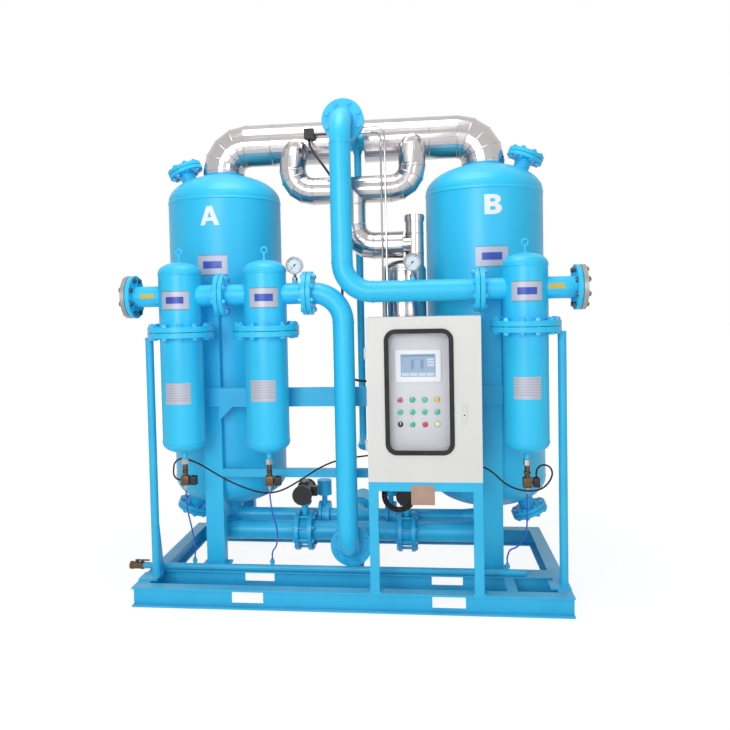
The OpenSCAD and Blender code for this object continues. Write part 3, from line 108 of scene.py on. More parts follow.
# %% [markdown]
# The world and the materials are made of nodes. One helper adds a node and fills its sockets, each
# with a plain value or with a link, which keeps every tree below short. The world gives a pale light,
# and it is white to rays from the camera, from gloss and through glass, so metal shows a white room.

# %% Node helper and world
def wired(tree, kind, sources, **settings):
    """Add a node. sources gives a socket its value, or the socket that feeds it."""
    made = tree.nodes.new("ShaderNode" + kind)
    for setting, value in settings.items():
        setattr(made, setting, value)
    for socket, source in sources.items():
        if isinstance(source, bpy.types.NodeSocket):
            tree.links.new(source, made.inputs[socket])
        else:
            made.inputs[socket].default_value = source
    return made


def seen_rays(tree):
    """1 for rays from the camera, from gloss and through glass, and 0 for the light of the room."""
    ray = wired(tree, "LightPath", {})
    either = wired(tree, "Math", {0: ray.outputs["Is Camera Ray"], 1: ray.outputs["Is Glossy Ray"]},
                   operation="MAXIMUM")
    return wired(tree, "Math", {0: either.outputs[0], 1: ray.outputs["Is Transmission Ray"]},
                 operation="MAXIMUM").outputs[0]


world = bpy.data.worlds.new("studio")
bpy.context.scene.world = world
world.use_nodes = True
sky = world.node_tree
room = sky.nodes["Background"]
room.inputs["Color"].default_value = (0.93, 0.96, 1.0, 1)
room.inputs["Strength"].default_value = 0.28
white = wired(sky, "Background", {"Color": (1, 1, 1, 1)})
choose = wired(sky, "MixShader", {0: seen_rays(sky), 1: room.outputs[0], 2: white.outputs[0]})
sky.links.new(choose.outputs[0], sky.nodes["World Output"].inputs["Surface"])
print("world: pale light, white to the eye")

# %% [markdown]
# The floor is white paper. A paper as bright as the background would lose the dryer's shadow, so a fifth
# of what we see is lit paper that keeps it, and the rest glows, a little more with the distance.

# %% Floor
floor_reach, glow_share = 30, 0.80
floor_corners = [(-floor_reach, -floor_reach, 0), (floor_reach, -floor_reach, 0),
                 (floor_reach, floor_reach, 0), (-floor_reach, floor_reach, 0)]
floor_mesh = bpy.data.meshes.new("floor")
floor_mesh.from_pydata(floor_corners, [], [(0, 1, 2, 3)])
floor = bpy.data.objects.new("floor", floor_mesh)
bpy.context.scene.collection.objects.link(floor)
floor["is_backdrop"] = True

paper = bpy.data.materials.new("floor_paper")
paper.use_nodes = True
paper_tree = paper.node_tree
matt = paper_tree.nodes["Principled BSDF"]
matt.inputs["Base Color"].default_value = (0.9, 0.9, 0.9, 1)
matt.inputs["Roughness"].default_value = 0.9
place = wired(paper_tree, "TexCoord", {})
from_middle = wired(paper_tree, "VectorMath", {0: place.outputs["Object"]}, operation="LENGTH")
brighten = wired(paper_tree, "MapRange", {"Value": from_middle.outputs["Value"], "From Min": 1.5,
                                          "From Max": 6.0, "To Min": 1.12, "To Max": 1.3})
glow = wired(paper_tree, "Emission", {"Strength": brighten.outputs["Result"]})
part = wired(paper_tree, "Math", {0: seen_rays(paper_tree), 1: glow_share}, operation="MULTIPLY")
blend = wired(paper_tree, "MixShader", {0: part.outputs[0], 1: matt.outputs[0], 2: glow.outputs[0]})
paper_tree.links.new(blend.outputs[0], paper_tree.nodes["Material Output"].inputs["Surface"])
floor_mesh.materials.append(paper)
print("floor:", 2 * floor_reach, "m wide")

# %% [markdown]
# Effects that several finishes share are node groups. Each puts out a colour or a value that changes
# over the surface; the shader itself stays in the material. "Uneven colour" mixes two colours with
# a cloudy noise, so that no surface is one flat tone. An image could do that too, but a noise needs
# no file and never repeats.

# %% Shared effect: uneven colour
def effect(name, inputs, outputs):
    tree = bpy.data.node_groups.new(name, "ShaderNodeTree")
    for label, kind, value in inputs:
        socket = tree.interface.new_socket(label, in_out="INPUT", socket_type="NodeSocket" + kind)
        socket.default_value = value
    for label, kind in outputs:
        tree.interface.new_socket(label, in_out="OUTPUT", socket_type="NodeSocket" + kind)
    return tree, tree.nodes.new("NodeGroupInput").outputs, tree.nodes.new("NodeGroupOutput").inputs


def mixed(tree, factor, first, second):
    return wired(tree, "Mix", {0: factor, 6: first, 7: second}, data_type="RGBA").outputs[2]


uneven, given, result = effect("Uneven colour", [
    ("Main", "Color", (0.5, 0.5, 0.5, 1)), ("Second", "Color", (0.4, 0.4, 0.4, 1)),
    ("Scale", "Float", 3.0), ("Amount", "Float", 0.5)], [("Color", "Color"), ("Mask", "Float")])
place = wired(uneven, "TexCoord", {})
clouds = wired(uneven, "TexNoise", {"Vector": place.outputs["Object"], "Scale": given["Scale"], "Detail": 6})
share = wired(uneven, "Math", {0: clouds.outputs["Fac"], 1: given["Amount"]}, operation="MULTIPLY")
uneven.links.new(mixed(uneven, share.outputs[0], given["Main"], given["Second"]), result["Color"])
uneven.links.new(clouds.outputs["Fac"], result["Mask"])
print("effect:", uneven.name)

# %% [markdown]
# Dust settles on faces that look up. It could be painted by hand on each piece; this group reads the
# upward part of the surface normal instead, breaks it up with noise and mixes a pale dust over
# whatever colour it is given, so that it fits every shape.

# %% Shared effect: settled dust
dusting, given, result = effect("Settled dust", [
    ("Color", "Color", (0.5, 0.5, 0.5, 1)), ("Dust", "Color", (0.62, 0.60, 0.56, 1)),
    ("Amount", "Float", 0.3)], [("Color", "Color")])
facing = wired(dusting, "NewGeometry", {})
split = wired(dusting, "SeparateXYZ", {0: facing.outputs["Normal"]})
upward = wired(dusting, "MapRange", {"Value": split.outputs["Z"], "From Min": 0.55, "From Max": 1.0})
place = wired(dusting, "TexCoord", {})
specks = wired(dusting, "TexNoise", {"Vector": place.outputs["Object"], "Scale": 38, "Detail": 5})
broken = wired(dusting, "Math", {0: upward.outputs["Result"], 1: specks.outputs["Fac"]}, operation="MULTIPLY")
held = wired(dusting, "Math", {0: broken.outputs[0], 1: given["Amount"]}, operation="MULTIPLY")
dusting.links.new(mixed(dusting, held.outputs[0], given["Color"], given["Dust"]), result["Color"])
print("effect:", dusting.name)

# %% [markdown]
# Brushing and rolling leave fine lines. A noise stretched along one direction gives them: a large
# number across the lines and a small one along them. A wave texture would be too even.

# %% Shared effect: drawn lines
lines, given, result = effect("Drawn lines", [("Stretch", "Vector", (1, 1, 1))], [("Value", "Float")])
place = wired(lines, "TexCoord", {})
stretch = wired(lines, "VectorMath", {0: place.outputs["Object"], 1: given["Stretch"]}, operation="MULTIPLY")
streaks = wired(lines, "TexNoise", {"Vector": stretch.outputs[0], "Scale": 1, "Detail": 4})
lines.links.new(streaks.outputs["Fac"], result["Value"])
print("effect:", lines.name)

# %% [markdown]
# One recipe makes every opaque finish: two colours, dust, a roughness that follows the clouds or the
# drawn lines, and a small relief for the bump. The numbers differ from finish to finish, and constants
# such as coat go on the shader itself, where an export can read them.

# %% The finish recipe
def tone(red, green, blue):
    """A screen colour from 0 to 255 as the linear colour that shaders use."""
    def linear(value):
        value /= 255
        return value / 12.92 if value <= 0.04045 else ((value + 0.055) / 1.055) ** 2.4
    return (linear(red), linear(green), linear(blue), 1)


def finish(name, main, second, scale, rough, amount=0.6, relief=(300, 0.03, 0.001), metal=0.0, coat=0.0,
           dust=0.0, drawn=None):
    """relief holds the grain's scale, the bump's strength and its depth; drawn stretches the lines."""
    material = bpy.data.materials.new(name)
    material.use_nodes = True
    tree = material.node_tree
    shader = tree.nodes["Principled BSDF"]
    for socket, value in (("Metallic", metal), ("Coat Weight", coat), ("Coat Roughness", 0.12)):
        shader.inputs[socket].default_value = value
    tint = wired(tree, "Group", {"Main": main, "Second": second, "Scale": scale, "Amount": amount},
                 node_tree=uneven)
    colour, pattern = tint.outputs["Color"], tint.outputs["Mask"]
    if dust:
        colour = wired(tree, "Group", {"Color": colour, "Amount": dust}, node_tree=dusting).outputs["Color"]
    grain, strength, depth = relief
    if drawn:
        pattern = wired(tree, "Group", {"Stretch": drawn}, node_tree=lines).outputs["Value"]
        height = pattern
    else:
        spot = wired(tree, "TexCoord", {})
        height = wired(tree, "TexNoise", {"Vector": spot.outputs["Object"], "Scale": grain}).outputs["Fac"]
    spread = wired(tree, "MapRange", {"Value": pattern, "From Min": 0.25, "From Max": 0.75,
                                      "To Min": rough[0], "To Max": rough[1]})
    bump = wired(tree, "Bump", {"Height": height, "Strength": strength, "Distance": depth})
    tree.links.new(colour, shader.inputs["Base Color"])
    tree.links.new(spread.outputs["Result"], shader.inputs["Roughness"])
    tree.links.new(bump.outputs["Normal"], shader.inputs["Normal"])
    return material


print("recipe: finish()")

# %% [markdown]
# The finishes of the dryer. The blue is a glossy enamel, a little deeper where it is thick; the
# cladding is rolled stainless sheet; the cabinet has a fine textured powder coat.

# %% Paints and metals
blue_enamel = finish("sky_blue_enamel", tone(44, 205, 249), tone(34, 188, 238), scale=2.2, amount=0.7,
                     rough=(0.36, 0.5), relief=(160, 0.05, 0.002), coat=0.06, dust=0.1)
skid_enamel = finish("sky_blue_skid", tone(48, 198, 240), tone(36, 174, 224), scale=5, amount=0.8,
                     rough=(0.36, 0.55), relief=(120, 0.08, 0.002), coat=0.05, dust=0.3)
painted_bolt = finish("painted_fastener", tone(44, 198, 244), tone(32, 172, 226), scale=20, amount=0.7,
                      rough=(0.25, 0.4), relief=(160, 0.05, 0.001), coat=0.3)
powder_coat = finish("cabinet_powder_coat", tone(228, 227, 223), tone(214, 213, 209), scale=4, amount=0.5,
                     rough=(0.45, 0.6), relief=(650, 0.12, 0.001), dust=0.06)
panel_coat = finish("panel_powder_coat", tone(206, 199, 204), tone(194, 187, 193), scale=5, amount=0.5,
                    rough=(0.5, 0.62), relief=(650, 0.1, 0.001))
clad_sheet = finish("stainless_cladding", tone(198, 194, 194), tone(160, 157, 159), scale=5, amount=0.6,
                    rough=(0.14, 0.24), metal=1.0, drawn=(9, 9, 160), relief=(0, 0.015, 0.001))
steel_tube = finish("stainless_tube", tone(172, 172, 174), tone(132, 133, 136), scale=9, amount=0.5,
                    rough=(0.2, 0.35), metal=1.0, drawn=(160, 160, 6), relief=(0, 0.04, 0.001))
turned_steel = finish("turned_steel", tone(176, 176, 172), tone(132, 130, 126), scale=14, amount=0.7,
                      rough=(0.28, 0.48), metal=1.0, relief=(300, 0.05, 0.001))
zinc_bolt = finish("zinc_fastener", tone(196, 198, 198), tone(140, 144, 146), scale=30, amount=0.7,
                   rough=(0.28, 0.5), metal=1.0, relief=(400, 0.05, 0.001))
dull_brass = finish("dull_brass", tone(122, 98, 74), tone(66, 52, 42), scale=26, amount=0.8,
                    rough=(0.3, 0.5), metal=1.0, relief=(260, 0.1, 0.001))
satin_chrome = finish("satin_chrome", tone(214, 214, 214), tone(186, 187, 188), scale=12, amount=0.5,
                      rough=(0.14, 0.26), metal=1.0, relief=(200, 0.02, 0.001))
# The gauge cases are steel. Their colour is darkened further as painted shade for the shadow that falls on
# them.
gauge_steel = finish("gauge_steel", tone(104, 107, 112), tone(66, 68, 72), scale=20, amount=0.6,
                     rough=(0.24, 0.38), metal=0.9, relief=(200, 0.03, 0.001))
print("materials so far:", len(bpy.data.materials))

# %% [markdown]
# The rest is rubber, plastic, gasket sheet, paper and beads. These are dull or softly shiny, so their
# grain shows more than their gloss does.

# %% Plastics, rubber and fillings
gasket_sheet = finish("fibre_gasket", tone(34, 34, 36), tone(18, 18, 19), scale=60, amount=0.8,
                      rough=(0.75, 0.95), relief=(500, 0.2, 0.002))
black_moulding = finish("black_moulding", tone(30, 30, 32), tone(18, 18, 20), scale=20, amount=0.7,
                        rough=(0.42, 0.6), relief=(420, 0.12, 0.001), dust=0.1)
black_rubber = finish("black_rubber", tone(17, 17, 18), tone(8, 8, 9), scale=18, amount=0.7,
                      rough=(0.6, 0.8), relief=(380, 0.12, 0.001), dust=0.08)
bead_charge = finish("desiccant_beads", tone(232, 228, 214), tone(206, 198, 180), scale=70, amount=0.8,
                     rough=(0.7, 0.9), relief=(190, 0.8, 0.004))
pleat_paper = finish("pleated_medium", tone(232, 230, 222), tone(210, 206, 196), scale=30, amount=0.7,
                     rough=(0.7, 0.9), relief=(240, 0.3, 0.002))
needle_black = finish("needle_black", tone(16, 16, 17), tone(8, 8, 9), scale=40, rough=(0.4, 0.55),
                      relief=(300, 0.05, 0.001))
bezel_grey = finish("screen_bezel", tone(226, 222, 224), tone(214, 209, 212), scale=12, amount=0.5,
                    rough=(0.4, 0.52), relief=(500, 0.08, 0.001))
tube_blue = finish("polyurethane_blue", tone(36, 92, 214), tone(24, 60, 170), scale=22, amount=0.6,
                   rough=(0.18, 0.3), relief=(200, 0.03, 0.001), coat=0.3)
button_green = finish("button_green", tone(20, 168, 116), tone(12, 132, 88), scale=60, rough=(0.2, 0.32),
                      coat=0.4)
button_red = finish("button_red", tone(206, 32, 36), tone(160, 18, 22), scale=60, rough=(0.2, 0.32),
                    coat=0.4)
print("materials so far:", len(bpy.data.materials))

# %% [markdown]
# The bolts were painted with the pipes, except at the two ends where the user's pipes will go. All
# bolts are one CAD node, so a second material would need its faces sorted. One small group marks the
# points that lie that far out at the height of the nozzles, and there the paint turns to dark steel.

# %% Bolts that change from paint to steel
nozzle_z = 1.580
ends, given, result = effect("Beyond the ends", [
    ("Reach", "Float", 1.05), ("Height", "Float", nozzle_z), ("Margin", "Float", 0.15)], [("Mask", "Float")])
place = wired(ends, "TexCoord", {})
split = wired(ends, "SeparateXYZ", {0: place.outputs["Object"]})
sideways = wired(ends, "Math", {0: split.outputs["X"]}, operation="ABSOLUTE")
beyond = wired(ends, "Math", {0: sideways.outputs[0], 1: given["Reach"]}, operation="GREATER_THAN")
level = wired(ends, "Math", {0: split.outputs["Z"], 1: given["Height"], 2: given["Margin"]},
              operation="COMPARE")
both = wired(ends, "Math", {0: beyond.outputs[0], 1: level.outputs[0]}, operation="MULTIPLY")
ends.links.new(both.outputs[0], result["Mask"])

bolt_tree = painted_bolt.node_tree
bolt_shader = bolt_tree.nodes["Principled BSDF"]
bare = wired(bolt_tree, "Group", {}, node_tree=ends).outputs["Mask"]
dark_steel = wired(bolt_tree, "Group", {"Main": tone(112, 113, 115), "Second": tone(58, 59, 61), "Scale": 30,
                                        "Amount": 0.7}, node_tree=uneven).outputs["Color"]
paint = bolt_shader.inputs["Base Color"].links[0].from_socket
bolt_tree.links.new(mixed(bolt_tree, bare, paint, dark_steel), bolt_shader.inputs["Base Color"])
bolt_tree.links.new(bare, bolt_shader.inputs["Metallic"])
print("bolts: paint, and dark steel at both ends")

# %% [markdown]
# Clear acrylic fills the door window and the gauges. Glass keeps a plain transmission value, and only
# its roughness varies a little, as wiping marks do. The sheet is thin and hardly bends light, so its
# index is close to that of air.

# %% Clear acrylic
window_acrylic = finish("window_acrylic", (0.93, 0.97, 0.98, 1), (0.88, 0.94, 0.95, 1), scale=4, amount=0.4,
                        rough=(0.01, 0.05), relief=(12, 0.01, 0.001))
acrylic_shader = window_acrylic.node_tree.nodes["Principled BSDF"]
acrylic_shader.inputs["Transmission Weight"].default_value = 1.0
acrylic_shader.inputs["IOR"].default_value = 1.02
print("clear:", window_acrylic.name)

# %% [markdown]
# Every CAD node takes the finish of the real piece. A table from finish to nodes is easier to read
# than a line for each node.

# %% Dress the CAD nodes
dressing = {
    skid_enamel: ["skid_frame", "tie_beams", "filter_posts", "cabinet_stand", "drain_header"],
    blue_enamel: ["tower_a_vessel", "tower_b_vessel", "handhole_covers", "filter_1_head", "filter_2_head",
                  "filter_3_head", "filter_1_bowl", "filter_2_bowl", "filter_3_bowl", "feed_pipe",
                  "delivery_pipe", "inlet_tee", "inlet_spool_a", "inlet_spool_b", "inlet_valve_bodies",
                  "exhaust_manifold", "outlet_tee", "purge_pipe"],
    clad_sheet: ["clad_pipe_a", "clad_pipe_b", "regen_loop", "heater_vessel"],
    steel_tube: ["impulse_tubes"],
    turned_steel: ["counter_flanges", "inlet_valve_a_disc", "inlet_valve_b_disc"],
    painted_bolt: ["flange_bolts"],
    gasket_sheet: ["gaskets"],
    powder_coat: ["cabinet_box", "cabinet_door"],
    panel_coat: ["inner_panel"],
    black_moulding: ["valve_actuators", "header_valve_lever", "selector_knob", "dew_sensor", "drain_valves"],
    black_rubber: ["window_gasket", "spare_cable_coil", "drain_cable_left", "drain_cable_right"],
    dull_brass: ["header_valve"],
    satin_chrome: ["door_latch"],
    gauge_steel: ["gauge_cases"],
    bead_charge: ["desiccant_beds"],
    pleat_paper: ["filter_elements"],
    needle_black: ["feed_gauge_needle", "delivery_gauge_needle"],
    bezel_grey: ["touch_screen"],
    tube_blue: ["drain_tube_1", "drain_tube_2", "drain_tube_3"],
    button_green: ["start_button", "pilot_lamps"],
    button_red: ["stop_button"],
    window_acrylic: ["window_pane"],
}
for material, names in dressing.items():
    for name in names:
        nodes[name].data.materials.clear()
        nodes[name].data.materials.append(material)
print("dressed:", sum(len(names) for names in dressing.values()), "of", len(nodes))

# %% [markdown]
# Cables and drain tubes are soft, so they replace their CAD solids. Each could be a swept mesh; a curve
# with a round bevel is shorter and stays smooth. It follows the CAD's route in millimetres, with no
# bend tighter than four diameters.

# %% Cables
lead_thick, tube_thick = 0.009, 0.008


def smooth_route(points, steps):
    """A curve in metres through points in millimetres, with a few steps between each two."""
    line = [Vector((x / 1000, y / 1000, z / 1000)) for x, y, z in points]
    line = [2 * line[0] - line[1]] + line + [2 * line[-1] - line[-2]]
    smooth = []
    for a, b, c, d in zip(line, line[1:], line[2:], line[3:]):
        for i in range(steps):
            t = i / steps
            smooth.append(0.5 * (2 * b + (c - a) * t + (2 * a - 5 * b + 4 * c - d) * t * t
                                 + (3 * b - a - 3 * c + d) * t ** 3))
    return smooth + [line[-2]]


def cable(name, points, diameter, material, replaced):
    data = bpy.data.curves.new(name, "CURVE")
    data.dimensions = "3D"
    data.bevel_depth = diameter / 2
    data.bevel_resolution = 3
    data.use_fill_caps = True
    spline = data.splines.new("POLY")
    spline.points.add(len(points) - 1)
    for target, point in zip(spline.points, points):
        target.co = (*point, 1)
    spline.use_smooth = True
    data.materials.append(material)
    piece = bpy.data.objects.new(name, data)
    bpy.context.scene.collection.objects.link(piece)
    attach(piece, "frame")
    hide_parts(replaced)


cab_right, cab_back, lead_gap = 673.0, -311.7, 0.3
left_lead = [
    (-868.5, -414, 622), (-876, -414, 622), (-890.5, -412.5, 624.9), (-902.9, -410, 633.1),
    (-911.1, -407, 645.5), (-914, -404, 660), (-914, -400.5, 673), (-914, -397.5, 686),
    (-911, -394.5, 701.3), (-902.3, -391.5, 714.3), (-889.3, -388.5, 723), (-874, -385.5, 726),
    (-850, -381.5, 723.5), (-815, -377.5, 711), (-770, -374.5, 690), (-690, -372, 642), (-600, -372, 595),
    (-500, -372, 558), (-420, -372, 545), (-340, -370, 562), (-250, -362, 610), (-160, -345, 665),
    (-80, -320, 698), (0, -291, 712), (60, -272, 717), (105, -263, 721), (135, -260, 724), (150, -260, 725),
    (164.5, -262.9, 726), (176.9, -271.1, 726.6), (185.1, -283.5, 727), (188, -298, 727),
    (188, cab_back + lead_gap, 727)]
right_lead = [
    (cab_right + lead_gap, -400, 690), (700, -401, 687), (738, -407, 662), (778, -418, 626), (822, -432, 600),
    (872, -443, 587), (925, -446, 586), (970, -441, 599), (1001, -430, 625), (1016, -421, 650),
    (1020, -416, 669), (1014.9, -414, 688), (1001, -414, 701.9), (982, -414, 707), (963, -414, 701.9),
    (949.1, -414, 688), (944, -414, 669), (944, -414, 655), (944, -414, 643.6)]
cable("left_drain_lead", smooth_route(left_lead, 4), lead_thick, black_rubber,
      "drain_cable_left")
cable("right_drain_lead", smooth_route(right_lead, 4), lead_thick, black_rubber,
      "drain_cable_right")

# %% [markdown]
# A blue tube runs from the barb of each drain to a nipple on the header pipe. It leaves straight down
# and comes in straight from above, and in between it sags to one side, as a cut length of tube does.

# %% Blue drain tubes
filter_x, filter_y = (-846.0, -399.0, 900.0), -414.0
left_x, middle_x, right_x = filter_x
header_y, barb_z, nipple_top = -285.0, 565.25, 165.3
left_tube = [
    (left_x, filter_y, barb_z), (-846, -412, barb_z - 40), (-842, -402, barb_z - 120),
    (-834, -369, barb_z - 220), (-838, -324, barb_z - 310), (-848, header_y, nipple_top + 40),
    (-851, header_y, nipple_top)]
middle_tube = [
    (middle_x, filter_y, barb_z), (-399, -412, barb_z - 40), (-391, -400, barb_z - 120),
    (-377, -366, barb_z - 220), (-391, -322, barb_z - 310), (-421, header_y, nipple_top + 40),
    (-424, header_y, nipple_top)]
right_tube = [
    (right_x, filter_y, barb_z), (900, -412, barb_z - 40), (900, -398, barb_z - 130),
    (894, -364, barb_z - 230), (860, -318, barb_z - 300), (826, header_y - 3, nipple_top + 70),
    (812, header_y, nipple_top + 30), (812, header_y, nipple_top)]
for name, route, replaced in (("left_drain_tube", left_tube, "drain_tube_1"),
                              ("middle_drain_tube", middle_tube, "drain_tube_2"),
                              ("right_drain_tube", right_tube, "drain_tube_3")):
    cable(name, smooth_route(route, 5), tube_thick, tube_blue, replaced)

# %% [markdown]
# Spare cable hangs in a coil under the cabinet. Flat rings would look like a spring, so its turns lie
# round each other like the strands of a rope: each moves a sixth of the way round the bundle's middle.

# %% Spare cable coil
coil_middle, coil_radius, strand = Vector((0.265, -0.440, 0.5557)), 0.072, 0.0108
turns, steps, turns_round, lead_steps, cabinet_bottom = 5.5, 40, 6, 8, 0.6517
winding = []
for i in range(int(turns * steps) + 1):
    angle = 2 * math.pi * i / steps
    place_in = angle / turns_round
    radius = coil_radius + strand * math.cos(place_in)
    winding.append(coil_middle + Vector((radius * math.cos(angle), strand * math.sin(place_in),
                                         -radius * math.sin(angle))))


def lead_up(end):
    """Points from the cabinet's bottom down to an end of the winding."""
    return [Vector((end.x, end.y, cabinet_bottom + (end.z - cabinet_bottom) * k / lead_steps))
            for k in range(lead_steps)]


coil_route = lead_up(winding[0]) + winding + lead_up(winding[-1])[::-1]
cable("spare_lead", coil_route, lead_thick, black_rubber, "spare_cable_coil")

# %% [markdown]
# Thin plates sit on the round shells. A flat plate would stand off at its edges, so each is a bent
# sheet: a small grid of faces laid on a cylinder, with its own thickness. A plain blue band or ruled
# lines stand where a real plate would be printed.

# %% Bent plates
plate_front, plate_back, columns = 0.0018, 0.0002, 16


def add_piece(name, points, faces, materials, slot, body="frame", indices=None, smooth=True):
    mesh = bpy.data.meshes.new(name)
    mesh.from_pydata([tuple(p) for p in points], [], faces)
    for material in materials:
        mesh.materials.append(material)
    if indices:
        mesh.polygons.foreach_set("material_index", indices)
    mesh.polygons.foreach_set("use_smooth", [smooth] * len(faces))
    mesh.validate()
    piece = bpy.data.objects.new(name, mesh)
    bpy.context.scene.collection.objects.link(piece)
    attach(piece, body)
    return piece


def on_shell(axis, radius, degrees, z):
    angle = math.radians(degrees)
    return Vector((axis[0] + radius * math.sin(angle), axis[1] - radius * math.cos(angle), z))


def bent_plate(name, axis, radius, middle, width, low, height, rows):
    """rows lists (share of the height, material) from the bottom up."""
    half_angle = math.degrees(width / 2 / radius)
    levels, finishes = [low], []
    for share, material in rows:
        levels.append(levels[-1] + height * share)
        finishes.append(material)
    points, faces, indices, used = [], [], [], list(dict.fromkeys(finishes))
    for skin in (radius + plate_front, radius + plate_back):
        for z in levels:
            for i in range(columns + 1):
                points.append(on_shell(axis, skin, middle - half_angle + 2 * half_angle * i / columns, z))
    stride, layer = columns + 1, (columns + 1) * len(levels)
    for j in range(len(rows)):
        for i in range(columns):
            a = j * stride + i
            faces.append((a, a + 1, a + stride + 1, a + stride))
            indices.append(used.index(finishes[j]))
    rim = (list(range(stride)) + [j * stride + columns for j in range(1, len(levels))]
           + [layer - 1 - i for i in range(1, stride)] + [j * stride for j in range(len(levels) - 2, 0, -1)])
    for a, b in zip(rim, rim[1:] + rim[:1]):
        faces.append((b, a, a + layer, b + layer))
        indices.append(0)
    add_piece(name, points, faces, used, "machine_steel", indices=indices, smooth=False)


plate_silver = finish("plate_silver", tone(188, 190, 204), tone(172, 175, 190), scale=30, amount=0.6,
                      rough=(0.4, 0.55), metal=0.25, drawn=(220, 220, 12), relief=(0, 0.03, 0.001))
band_blue = finish("plate_blue", tone(38, 78, 186), tone(28, 60, 156), scale=40, rough=(0.3, 0.42))
rule_grey = finish("plate_rules", tone(120, 122, 126), tone(96, 98, 102), scale=60, rough=(0.4, 0.5))
tower_a, tower_b, tower_radius = (-0.75, 0.15), (0.75, 0.15), 0.325
filter_axes, filter_radius, band_lift = [(x / 1000, filter_y / 1000) for x in filter_x], 0.1095, 0.0017
edged_rows = [(0.03, rule_grey), (0.94, plate_silver), (0.03, rule_grey)]
band_rows = [(0.5, band_blue), (0.5, band_blue)]
rule_rows = [(0.08, plate_silver)] + [(0.105, plate_silver), (0.012, rule_grey)] * 7 + [(0.101, plate_silver)]
for name, axis, radius, middle, width, low, height in (
        ("tower_a_plate", tower_a, tower_radius, 1.5, 0.166, 1.696, 0.110),
        ("tower_b_plate", tower_b, tower_radius, 2.5, 0.170, 1.702, 0.108),
        ("filter_1_plate", filter_axes[0], filter_radius, 3, 0.148, 1.510, 0.094),
        ("filter_2_plate", filter_axes[1], filter_radius, 8.5, 0.150, 1.511, 0.100),
        ("filter_3_plate", filter_axes[2], filter_radius, -3, 0.150, 1.516, 0.096)):
    bent_plate(name, axis, radius, middle, width, low, height, edged_rows)
    bent_plate(name + "_band", axis, radius + band_lift, middle, width * 0.62, low + height * 0.33,
               height * 0.36, band_rows)
for number, (axis, middle, low) in enumerate(zip(filter_axes, (4, -1, -4.5), (1.030, 1.042, 1.045)), 1):
    bent_plate(f"filter_{number}_data_plate", axis, filter_radius, middle, 0.134, low, 0.108, rule_rows)
print("plates: 8, with 5 plain bands")

# %% [markdown]
# Each tower carries one large white letter. A text object would be flat and need a font, so a letter is
# a few strokes; each stroke is a strip of faces wrapped on the shell, a hair above the paint.

# %% Tower letters
letter_white = finish("letter_white", tone(246, 248, 250), tone(232, 236, 240), scale=50, amount=0.5,
                      rough=(0.35, 0.5))
letter_lift = 0.0006


def strip(first, second):
    """Faces between two lines of equally many points."""
    n = len(first)
    return list(first) + list(second), [(i, i + 1, n + i + 1, n + i) for i in range(n - 1)]


def straight(a, b, steps=10):
    return [(a[0] + (b[0] - a[0]) * i / steps, a[1] + (b[1] - a[1]) * i / steps) for i in range(steps + 1)]


def bowl(x, y, rx, ry, steps=16):
    return [(x + rx * math.sin(math.pi * i / steps), y + ry * math.cos(math.pi * i / steps))
            for i in range(steps + 1)]


def tower_letter(name, axis, middle, low, width, height, strokes):
    """strokes lists pairs of lines, in shares of the letter's width and height."""
    points, faces = [], []
    for first, second in strokes:
        flat, quads = strip(first, second)
        faces += [tuple(i + len(points) for i in q) for q in quads]
        for u, v in flat:
            turn = math.degrees((u - 0.5) * width / tower_radius)
            points.append(on_shell(axis, tower_radius + letter_lift, middle + turn, low + v * height))
    add_piece(name, points, faces, [letter_white], "cabinet_grey", smooth=False)


tower_letter("letter_a", tower_a, 0, 1.969, 0.106, 0.103, [
    (straight((0, 0), (0.36, 1)), straight((0.25, 0), (0.53, 0.80))),
    (straight((0.36, 1), (0.64, 1)), straight((0.46, 0.72), (0.54, 0.72))),
    (straight((0.47, 0.80), (0.75, 0)), straight((0.64, 1), (1, 0))),
    (straight((0.26, 0.22), (0.74, 0.22)), straight((0.32, 0.40), (0.68, 0.40)))])
tower_letter("letter_b", tower_b, 4.0, 1.975, 0.094, 0.104, [
    (straight((0.03, 0), (0.03, 1)), straight((0.35, 0), (0.35, 1))),
    (straight((0.35, 1), (0.54, 1)), straight((0.35, 0.79), (0.54, 0.79))),
    (bowl(0.54, 0.75, 0.40, 0.25), bowl(0.54, 0.71, 0.08, 0.08)),
    (straight((0.35, 0.63), (0.54, 0.63)), straight((0.35, 0.39), (0.54, 0.39))),
    (bowl(0.54, 0.29, 0.45, 0.29), bowl(0.54, 0.30, 0.10, 0.09)),
    (straight((0.35, 0.21), (0.54, 0.21)), straight((0.35, 0), (0.54, 0)))])
print("letters: A and B")

# %% [markdown]
# Round pieces such as lamps, dials and nuts are lathe work. Blender's cylinders would need loops cut
# into them; here an outline is turned about an axis, and several turned forms make one piece.

# %% Lathe helper
def turned(outline, at, direction, sides=40):
    """Points and faces of an outline of (radius, height) turned about a direction, closed at its ends."""
    axis = Vector(direction).normalized()
    across = axis.orthogonal().normalized()
    beside = axis.cross(across)
    points, faces = [], []
    for radius, height in outline:
        for k in range(sides):
            a = 2 * math.pi * k / sides
            points.append(Vector(at) + axis * height + (across * math.cos(a) + beside * math.sin(a)) * radius)
    for j in range(len(outline) - 1):
        for k in range(sides):
            a, b = j * sides + k, j * sides + (k + 1) % sides
            faces.append((a, b, b + sides, a + sides))
    faces.append(tuple(reversed(range(sides))))
    faces.append(tuple(range((len(outline) - 1) * sides, len(outline) * sides)))
    return points, faces


def gather(parts):
    """Several (points, faces) as one."""
    points, faces = [], []
    for some_points, some_faces in parts:
        faces += [tuple(i + len(points) for i in f) for f in some_faces]
        points += some_points
    return points, faces


def creased(piece, degrees=35):
    """Smooth faces with crisp edges, for turned and folded pieces."""
    piece.data.set_sharp_from_angle(angle=math.radians(degrees))
    return piece


print("lathe ready")

